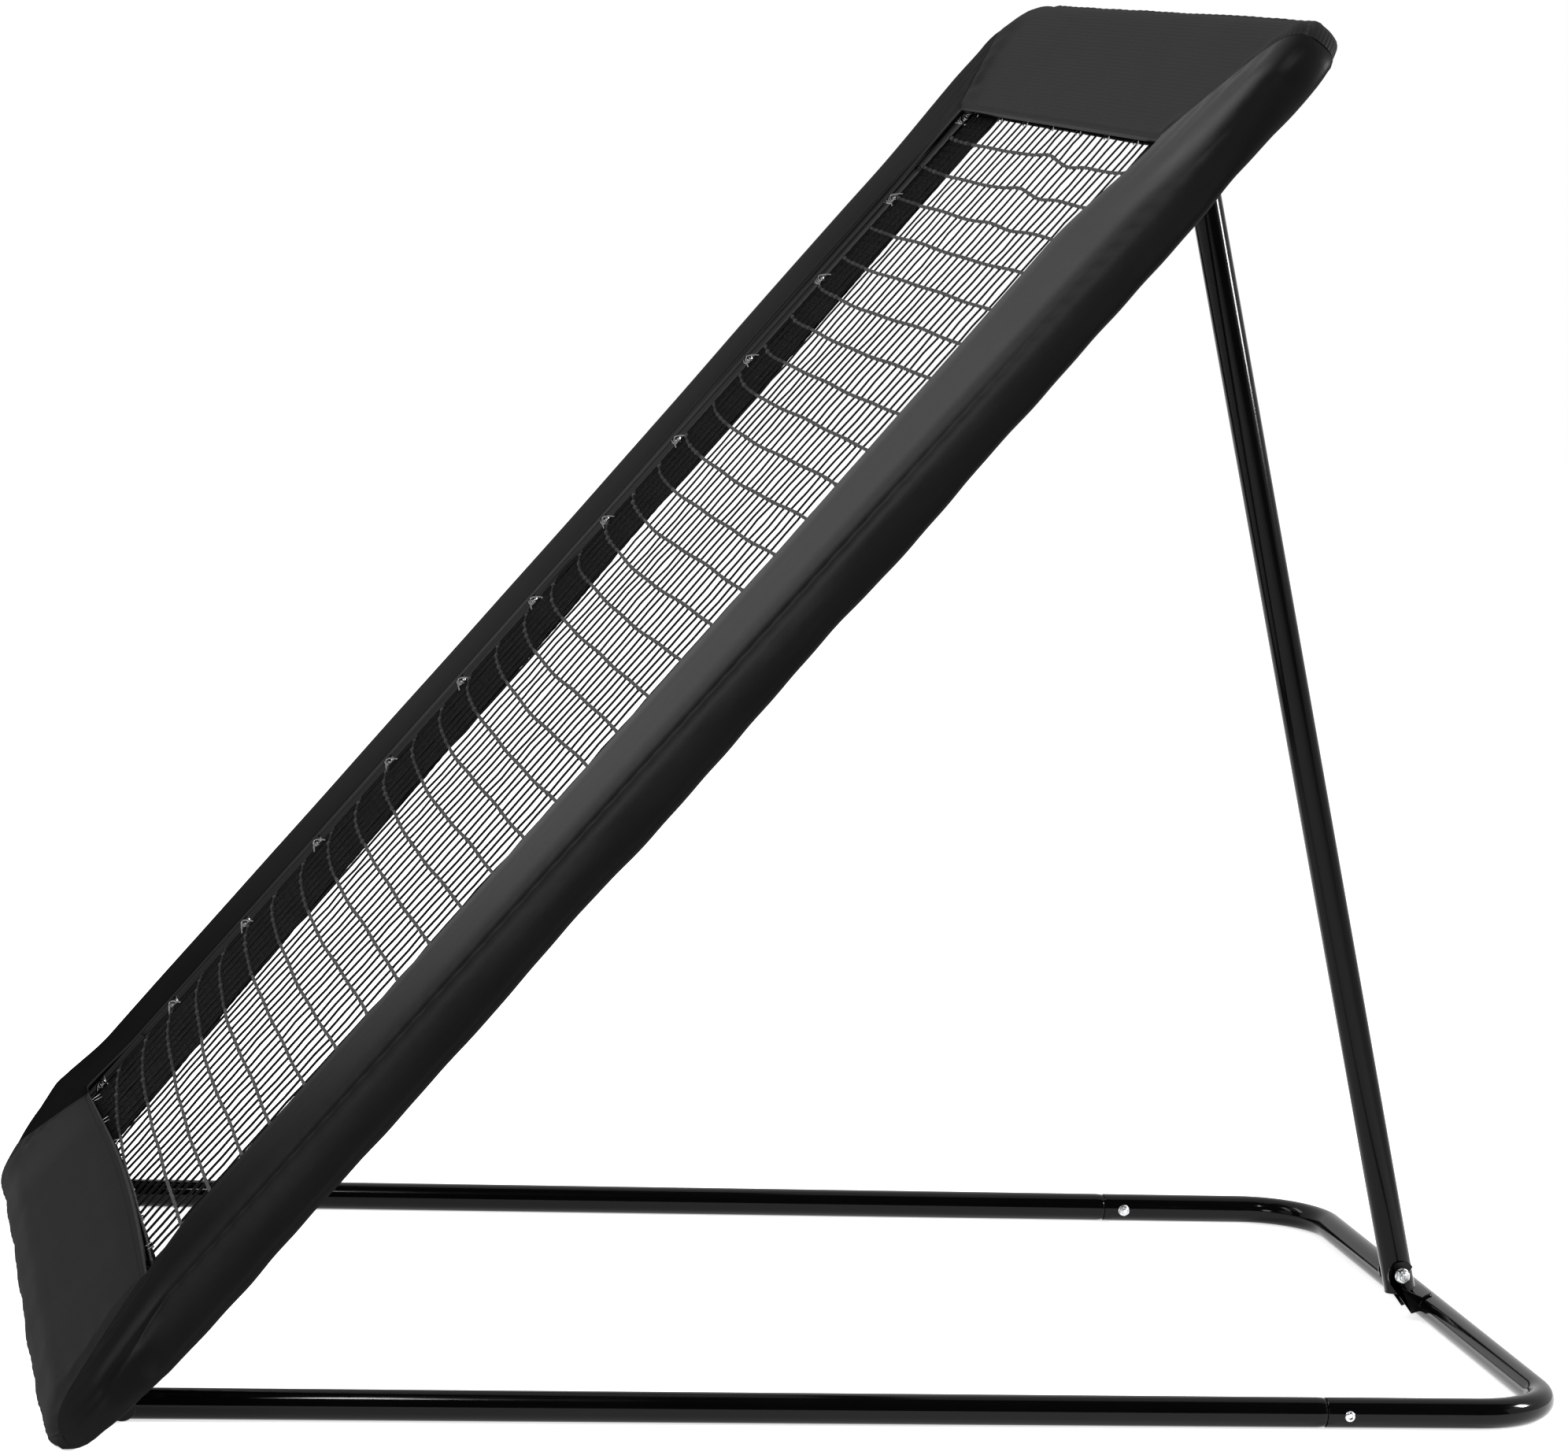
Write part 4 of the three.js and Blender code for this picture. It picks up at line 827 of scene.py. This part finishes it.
side_at = {
    "end": [(205.4, 0.03), (206.6, 0.2), (207.2, 0.42), (206.6, 0.66), (204.4, 0.87), (200.2, 0.99), (195.5, 1.02),
            (190, 0.98), (186.4, 0.84), (184, 0.62)],
    "right_low": [(157, 0.045), (168, 0.12), (178, 0.25), (187, 0.4), (194.6, 0.55), (200.6, 0.7), (204.6, 0.83),
                  (205, 0.95), (199, 1.02), (188, 0.86)],
    "right_high": [(174, 0.1), (180.5, 0.19), (187, 0.32), (193.4, 0.46), (199, 0.61), (203.2, 0.76),
                   (205.2, 0.88), (203.8, 0.97), (198, 1.02), (188, 0.84)]}
seam_level = {"end": 16.5, "left": 12, "right_low": 30, "right_high": 21.6}
under_face = [(180.5, 8), (173, 17.4), (163, 20.8), (148, 21.4), (136, 23.4), (110, 24.2), (60, 23.8)]
pad_outline = faces_at["end"] + side_at["end"] + under_face


def section(kind, skirt):
    """A section's points in metres, for a skirt that many mm below the middle plane"""
    level = seam_level[kind]
    side = side_at.get(kind, side_at["end"])
    made = faces_at[kind] + [(w, level - share * (level + skirt)) for w, share in side]
    return np.array(made + under_face) / 1000


def plan_stations(kind, straight, corner_count):
    """Inner and outer edge points (x, s) of a pad's stations, and how far each is round a corner, from 0 to 1"""
    inner, outer, bend = [], [], []

    def add(sx, sy, angle, dx, ds):
        ray = np.array([sx * math.cos(angle), sy * math.sin(angle)])
        low, high = pad_low + pad_width - 0.006, pad_high - pad_width - 0.008
        corner = pad_corner if sx > 0 else pad_far_corner
        centre = np.array([sx * (pad_half - pad_width - pad_inner_corner),
                           high - pad_inner_corner if sy > 0 else low + pad_inner_corner])
        around = np.array([sx * (pad_half - corner), pad_high - corner if sy > 0 else pad_low + corner])
        inner.append(centre + ray * pad_inner_corner + (dx, ds))
        outer.append(around + ray * corner + (dx, ds))

    def run(a, b):
        for t in np.linspace(0, 1, straight + 1)[1:-1]:
            inner.append(a[0] + (b[0] - a[0]) * t)
            outer.append(a[1] + (b[1] - a[1]) * t)
            bend.append(0)

    shares = np.linspace(0, 1, corner_count + 1)
    gap, eighth = 0.0003, math.pi / 4
    if kind in ("left", "right"):
        sx = -1 if kind == "left" else 1
        for t in shares:
            add(sx, -1, eighth * (1 - t), 0, gap * (1 - t))
            bend.append(1 - t)
        start = len(inner) - 1
        add(sx, 1, 0, 0, 0)
        end = inner.pop(), outer.pop()
        run((inner[start], outer[start]), end)
        for t in shares:
            add(sx, 1, eighth * t, 0, -gap * t)
            bend.append(t)
    else:
        sy = -1 if kind == "bottom" else 1
        for t in shares:
            add(-1, sy, eighth * (1 + t), gap * (1 - t), 0)
            bend.append(1 - t)
        start = len(inner) - 1
        add(1, sy, 2 * eighth, 0, 0)
        end = inner.pop(), outer.pop()
        run((inner[start], outer[start]), end)
        for t in shares:
            add(1, sy, eighth * (2 - t), -gap * t, 0)
            bend.append(t)
    return np.array(inner), np.array(outer), np.array(bend)


def smoothstep(t):
    t = np.clip(t, 0, 1)
    return t * t * (3 - 2 * t)


def pad_ends(rows, columns):
    """The two faces that close a pad's net of points at its ends"""
    return [[r * columns for r in range(rows)], [r * columns + columns - 1 for r in reversed(range(rows))]]


def swell(points, free, cap, frames=16):
    """How points [rows, columns, 3] of a closed soft piece move in a short cloth simulation under pressure. free is
    0 for a point that stays and 1 for one that may move, by at most cap."""
    rows, columns = points.shape[:2]
    mesh = bpy.data.meshes.new("swelling")
    faces = grid(rows, columns, True, False)[:, ::-1].tolist() + pad_ends(rows, columns)
    mesh.from_pydata(points.reshape(-1, 3).tolist(), [], faces)
    soft = bpy.data.objects.new("swelling", mesh)
    bpy.context.scene.collection.objects.link(soft)
    group = soft.vertex_groups.new(name="held")
    for i, share in enumerate(free.ravel()):
        if share < 1:
            group.add([i], float(1 - share), "REPLACE")
    cloth = soft.modifiers.new("cloth", "CLOTH")
    cloth.settings.vertex_group_mass = "held"
    cloth.settings.pin_stiffness = 1
    cloth.settings.use_pressure = True
    cloth.settings.uniform_pressure_force = 5
    cloth.settings.quality = 5
    cloth.settings.mass = 0.3
    cloth.settings.tension_stiffness = cloth.settings.compression_stiffness = 14
    cloth.settings.shear_stiffness = 6
    cloth.settings.bending_stiffness = 0.6
    cloth.settings.effector_weights.gravity = 0
    cloth.point_cache.frame_start, cloth.point_cache.frame_end = 1, frames
    for step in range(1, frames + 1):
        bpy.context.scene.frame_set(step)
    shaped = soft.evaluated_get(bpy.context.evaluated_depsgraph_get())
    moved = np.zeros(len(mesh.vertices) * 3)
    shaped.data.vertices.foreach_get("co", moved)
    bpy.data.objects.remove(soft)
    bpy.data.meshes.remove(mesh)
    bpy.context.scene.frame_set(1)
    shift = moved.reshape(points.shape) - points
    size = np.linalg.norm(shift, axis=2, keepdims=True)
    return shift * np.minimum(1, cap / np.maximum(size, 1e-9)) * free[..., None]


def vinyl_material(name, gloss, stitched=True, ribs=False):
    """Black vinyl: a fine leather grain, a slow crumple, a piped hem, and stitches beside the seam and ribs if
    asked. The clear top coat is thinner low down, painted shade that darkens the lower parts, and gloss gives
    its two weights. A pad without stitches is duller past its rounded edge, painted shade on its side."""
    made = material(name, (0.0036, 0.0036, 0.0038), (0.0058, 0.0058, 0.0061), (0.5, 0.6), 1700, 0.00007, drift=9,
                    specular=0.0)
    nodes, links = made.node_tree.nodes, made.node_tree.links
    surface, grain, tint = nodes["Principled BSDF"], nodes["grain"], nodes["tint"]
    settle(surface, {"Coat Roughness": 0.42})
    links.new(grain.outputs[0], surface.inputs["Coat Normal"])
    where = nodes["Texture Coordinate"].outputs["Object"]

    def math_node(operation, a, b=None):
        node = nodes.new("ShaderNodeMath")
        node.operation = operation
        for socket, value in zip(node.inputs, (a, b)):
            if isinstance(value, float):
                socket.default_value = value
            elif value is not None:
                links.new(value, socket)
        return node.outputs[0]

    def near(value, middle, reach):
        return math_node("LESS_THAN", math_node("ABSOLUTE", math_node("SUBTRACT", value, middle)), reach)

    def eased(value, start, end, low, high):
        node = nodes.new("ShaderNodeMapRange")
        node.interpolation_type = "SMOOTHSTEP"
        settle(node, {"From Min": start, "From Max": end, "To Min": low, "To Max": high})
        links.new(value, node.inputs["Value"])
        return node.outputs[0]

    def bumped(height, distance, under=None):
        node = nodes.new("ShaderNodeBump")
        settle(node, {"Strength": 1, "Distance": distance})
        links.new(height, node.inputs["Height"])
        if under:
            links.new(under, node.inputs["Normal"])
        return node.outputs[0]

    place, split = nodes.new("ShaderNodeSeparateXYZ"), nodes.new("ShaderNodeSeparateXYZ")
    links.new(where, place.inputs[0])
    links.new(nodes.new("ShaderNodeUVMap").outputs[0], split.inputs[0])
    across, along = split.outputs[0], split.outputs[1]
    crumple, weight, thread = (nodes.new("ShaderNode" + kind) for kind in ("TexNoise", "Mix", "Mix"))
    settle(crumple, {"Scale": 34, "Detail": 3})
    links.new(where, crumple.inputs["Vector"])
    # On pads without stitches the coat drops past the rounded edge: painted shade on their sides.
    links.new(eased(across, seam_at - 0.042, seam_at - 0.004, 0, 0 if stitched else 1), weight.inputs[0])
    # A thinner coat low down: painted shade, darker towards the bottom.
    links.new(eased(place.outputs[2], 0.2, 0.8, *gloss), weight.inputs[2])
    settle(weight, {3: gloss[1] * 0.22})
    links.new(weight.outputs[0], surface.inputs["Coat Weight"])
    dash = math_node("LESS_THAN", math_node("FRACT", math_node("MULTIPLY", along, 1 / 0.0066)), 0.64)
    beside = math_node("MULTIPLY", near(across, seam_at - 0.0042, 0.0005), dash)
    stitch = math_node("MULTIPLY", beside, 1.0 if stitched else 0.0)
    thread.data_type = "RGBA"
    piping = math_node("MULTIPLY", near(across, edge_at, 0.0018), 0.9)
    links.new(math_node("ADD", stitch, piping), thread.inputs[0])
    links.new(tint.outputs[2], thread.inputs[6])
    settle(thread, {7: (0.02, 0.02, 0.0205, 1)})
    links.new(thread.outputs[2], surface.inputs["Base Color"])
    relief = bumped(stitch, 0.0004, bumped(crumple.outputs["Fac"], 0.0005))
    if ribs:
        rib = math_node("SINE", math_node("MULTIPLY", across, 2 * math.pi / 0.0056))
        relief = bumped(rib, 0.00022, relief)
    links.new(relief, grain.inputs["Normal"])
    return made


base_outline = section("end", 24)
outline_step = np.linalg.norm(np.diff(base_outline, axis=0), axis=1)
outline_t = np.concatenate([[0], np.cumsum(outline_step)])
closing = float(np.linalg.norm(base_outline[0] - base_outline[-1]))
edge_at, seam_at, rim_at, under_at = (float(outline_t[k]) for k in (3, 13, 19, 24))
# The same vinyl four times with its own coat weights: painted shade per pad, with the far left pad dullest.
vinyls = {"bottom": vinyl_material("vinyl", (0.11, 0.12)),
          "top": vinyl_material("vinyl_ribbed", (0.18, 0.19), ribs=True),
          "left": vinyl_material("vinyl_far_painted_shade", (0.0, 0.1), stitched=False),
          "right": vinyl_material("vinyl_side", (0.03, 0.44), stitched=False)}


def pad(kind, seed):
    """One pad, from a coarse net that swells to a fine one with its seam, hem, folds and wavy rim"""
    side_pad = kind in ("left", "right")
    inner, outer, bend = plan_stations(kind, 96 if side_pad else 62, 6)
    if kind == "bottom":
        inner[:, 1] += 0.017 * np.cos(np.clip(inner[:, 0] / (pad_half - pad_width), -1, 1) * np.pi / 2)
    # The outer edge strays down the panel by 9 mm at the far top corner, 3 mm at the near top one and 8 mm at
    # the near bottom one, and up it by 14 mm at the far bottom one
    x, upper = outer[:, 0], outer[:, 1] > 1
    top_drift = -0.009 + 0.006 * smoothstep((x + 0.7) / 1.2)
    bottom_drift = -0.008 + 0.022 * smoothstep((0.55 - x) / 1.1)
    drift = np.where(upper, top_drift, bottom_drift) * (bend if side_pad else 1)
    if kind == "bottom":
        drift = drift + 0.0012 * np.sin(x * 21) + 0.0008 * np.sin(x * 47)
    outer[:, 1] += drift
    pulled = np.where((x < 0) & ~upper, smoothstep(1.4 * bend), 0)
    outer += pulled[:, None] * (0.008, 0.002)
    local = np.zeros((len(pad_outline), len(inner), 3))
    for j, (a, b, share) in enumerate(zip(inner, outer, bend)):
        skirt = 7 + 17 * smoothstep((b[1] - pad_low) / 0.16)
        shape = section("end", skirt)
        along_side = smoothstep((pad_high - pad_width - 0.002 - a[1]) / 0.2)
        along_side *= smoothstep((a[1] - pad_low - pad_width) / 0.1)
        if kind == "left":
            other = section("left", skirt)
            other[4:13, 1] += 0.004 * smoothstep((b[1] - 1.2) / 0.5)
            shape = shape + (other - shape) * along_side
        if kind == "right":
            twist = np.clip((b[1] - 0.25) / 1.75, 0, 1) ** 1.6
            other = section("right_low", skirt) * (1 - twist) + section("right_high", skirt) * twist
            shape = shape + (other - shape) * along_side
        if kind == "top":
            shape[14:22, 0] += 0.0035 * (1 - share)
        if a[1] < 1:
            dip = smoothstep((-0.3 - b[0]) / 0.35) * {"bottom": 1, "left": share}.get(kind, 0)
            shape[3:14, 1] += dip * 0.85 * np.minimum(0, 0.0245 - shape[3:14, 1])
        thin = max(0, drift[j]) + 0.015 * smoothstep(1.5 * share) * (b[0] < 0)
        shape[21:25, 0] += thin * np.array([0.4, 0.8, 1, 1])
        plan = a + (b - a) * (shape[:, :1] / pad_width)
        local[:, j] = np.column_stack([plan, shape[:, 1]])
    coarse = pan(local[..., 0], local[..., 1], local[..., 2])
    free = np.zeros(coarse.shape[:2])
    give = (0.5, 0.8, 1, 1, 1, 1, 0.9, 0.8, 0.8, 0.7, 0.35, 0.7, 1, 1, 1, 0.8, 0.5)
    free[4:4 + len(give)] = np.array(give)[:, None]
    free *= smoothstep(np.minimum(np.arange(len(inner)), np.arange(len(inner))[::-1]) / 5.0)
    coarse = coarse + swell(coarse, free, 0.004)
    run = np.concatenate([[0], np.cumsum(np.linalg.norm(np.diff((inner + outer) / 2, axis=0), axis=1))])
    hem_at = edge_at + 0.0075
    beside = np.array([-0.0036, -0.0022, -0.0012, -0.0005, 0, 0.0005, 0.0012, 0.0022, 0.0036])
    where = np.unique(np.concatenate([np.arange(0, outline_t[-1] + closing * 0.99, 0.0056), seam_at + beside,
                                      hem_at + beside]))
    along = np.linspace(0, run[-1], int(run[-1] / 0.0072))
    fine = hermite(coarse, outline_t, where, closed=closing)
    fine = np.swapaxes(hermite(np.swapaxes(fine, 0, 1), run, along), 0, 1)
    du, dv = np.gradient(fine, axis=0), np.gradient(fine, axis=1)
    normal = np.cross(du, dv)
    normal /= np.linalg.norm(normal, axis=2, keepdims=True) + 1e-12
    outward = np.sign(np.sum(normal[len(where) // 4] * panel_out))
    normal *= outward
    t, v = where[:, None], along[None]
    turn = np.interp(along, run, bend)[None]
    ends = np.minimum(v, run[-1] - v)
    groove = -0.0014 * np.exp(-((t - seam_at) / 0.0013) ** 2) * (kind != "right")
    if kind == "right":
        fading = smoothstep((run[-1] - 0.1 - v) / 0.7)
        groove = groove - 0.003 * np.exp(-((t - seam_at) / 0.006) ** 2) * fading * smoothstep(v / 0.12)
    waves = np.sin(2 * np.pi * v / 0.031 + 2 * np.sin(v * 9 + seed))
    pucker = 0.0005 * np.exp(-((t - seam_at) / 0.008) ** 2) * waves
    hem = -0.0011 * np.exp(-((t - edge_at - 0.0075) / 0.0012) ** 2)
    hem = hem + 0.0007 * np.exp(-((t - edge_at) / 0.004) ** 2)
    on_face = smoothstep((t - edge_at - 0.012) / 0.03) * smoothstep((seam_at - t - 0.004) / 0.03)
    on_side = smoothstep((t - seam_at) / 0.01) * smoothstep((rim_at + 0.004 - t) / 0.01)
    slack = (0.0002 if kind == "top" else 0.0005) * on_face * ripple(t, v, seed, 7, 0.16, 0.5)
    slack = slack + 0.0009 * on_side * ripple(t * 0.5, v, seed + 1, 7, 0.09, 0.3)
    folds = np.sin(2 * np.pi * v / 0.017 + 3 * np.sin(v * 50 + seed))
    pleat = 0.0016 * smoothstep(turn * 1.4) * on_side * folds * np.exp(-ends / 0.09)
    drag = np.sin(2 * np.pi * t / 0.034 + seed)
    pull = 0.0011 * np.exp(-ends / 0.05) * on_face * drag * smoothstep(ends / 0.006)
    fine = fine + normal * (groove + pucker + hem + slack + pleat + pull)[..., None]
    hanging = smoothstep((t - seam_at - 0.012) / 0.024) * smoothstep((under_at - t) / 0.02)
    sag = 0.0021 * hanging * ripple(0 * t, v, seed + 2, 6, 0.11, 0.42)
    sag = sag + 0.0008 * hanging * ripple(0 * t, v, seed + 3, 5, 0.03, 0.08)
    fine = fine + sag[..., None] * panel_out
    low = np.maximum(0, 0.0012 - fine[..., 2])
    fine = fine + (low / panel_up[2])[..., None] * panel_up
    rows, columns = fine.shape[:2]
    faces = grid(rows, columns, True, False).tolist() + pad_ends(rows, columns)
    if outward < 0:
        faces = [f[::-1] for f in faces]
    made = build(f"{kind}_pad_visual", fine.reshape(-1, 3), faces, vinyls[kind], "panel", [f"{kind}_pad"],
                 60)
    chart = np.stack(np.broadcast_arrays(t, v), 2).reshape(-1, 2)
    corners = np.zeros(len(made.data.loops), np.int32)
    made.data.loops.foreach_get("vertex_index", corners)
    made.data.uv_layers.new(name="UVMap").data.foreach_set("uv", chart[corners].astype(np.float32).ravel())


for seed, kind in enumerate(("bottom", "top", "left", "right")):
    pad(kind, 20 + 5 * seed)
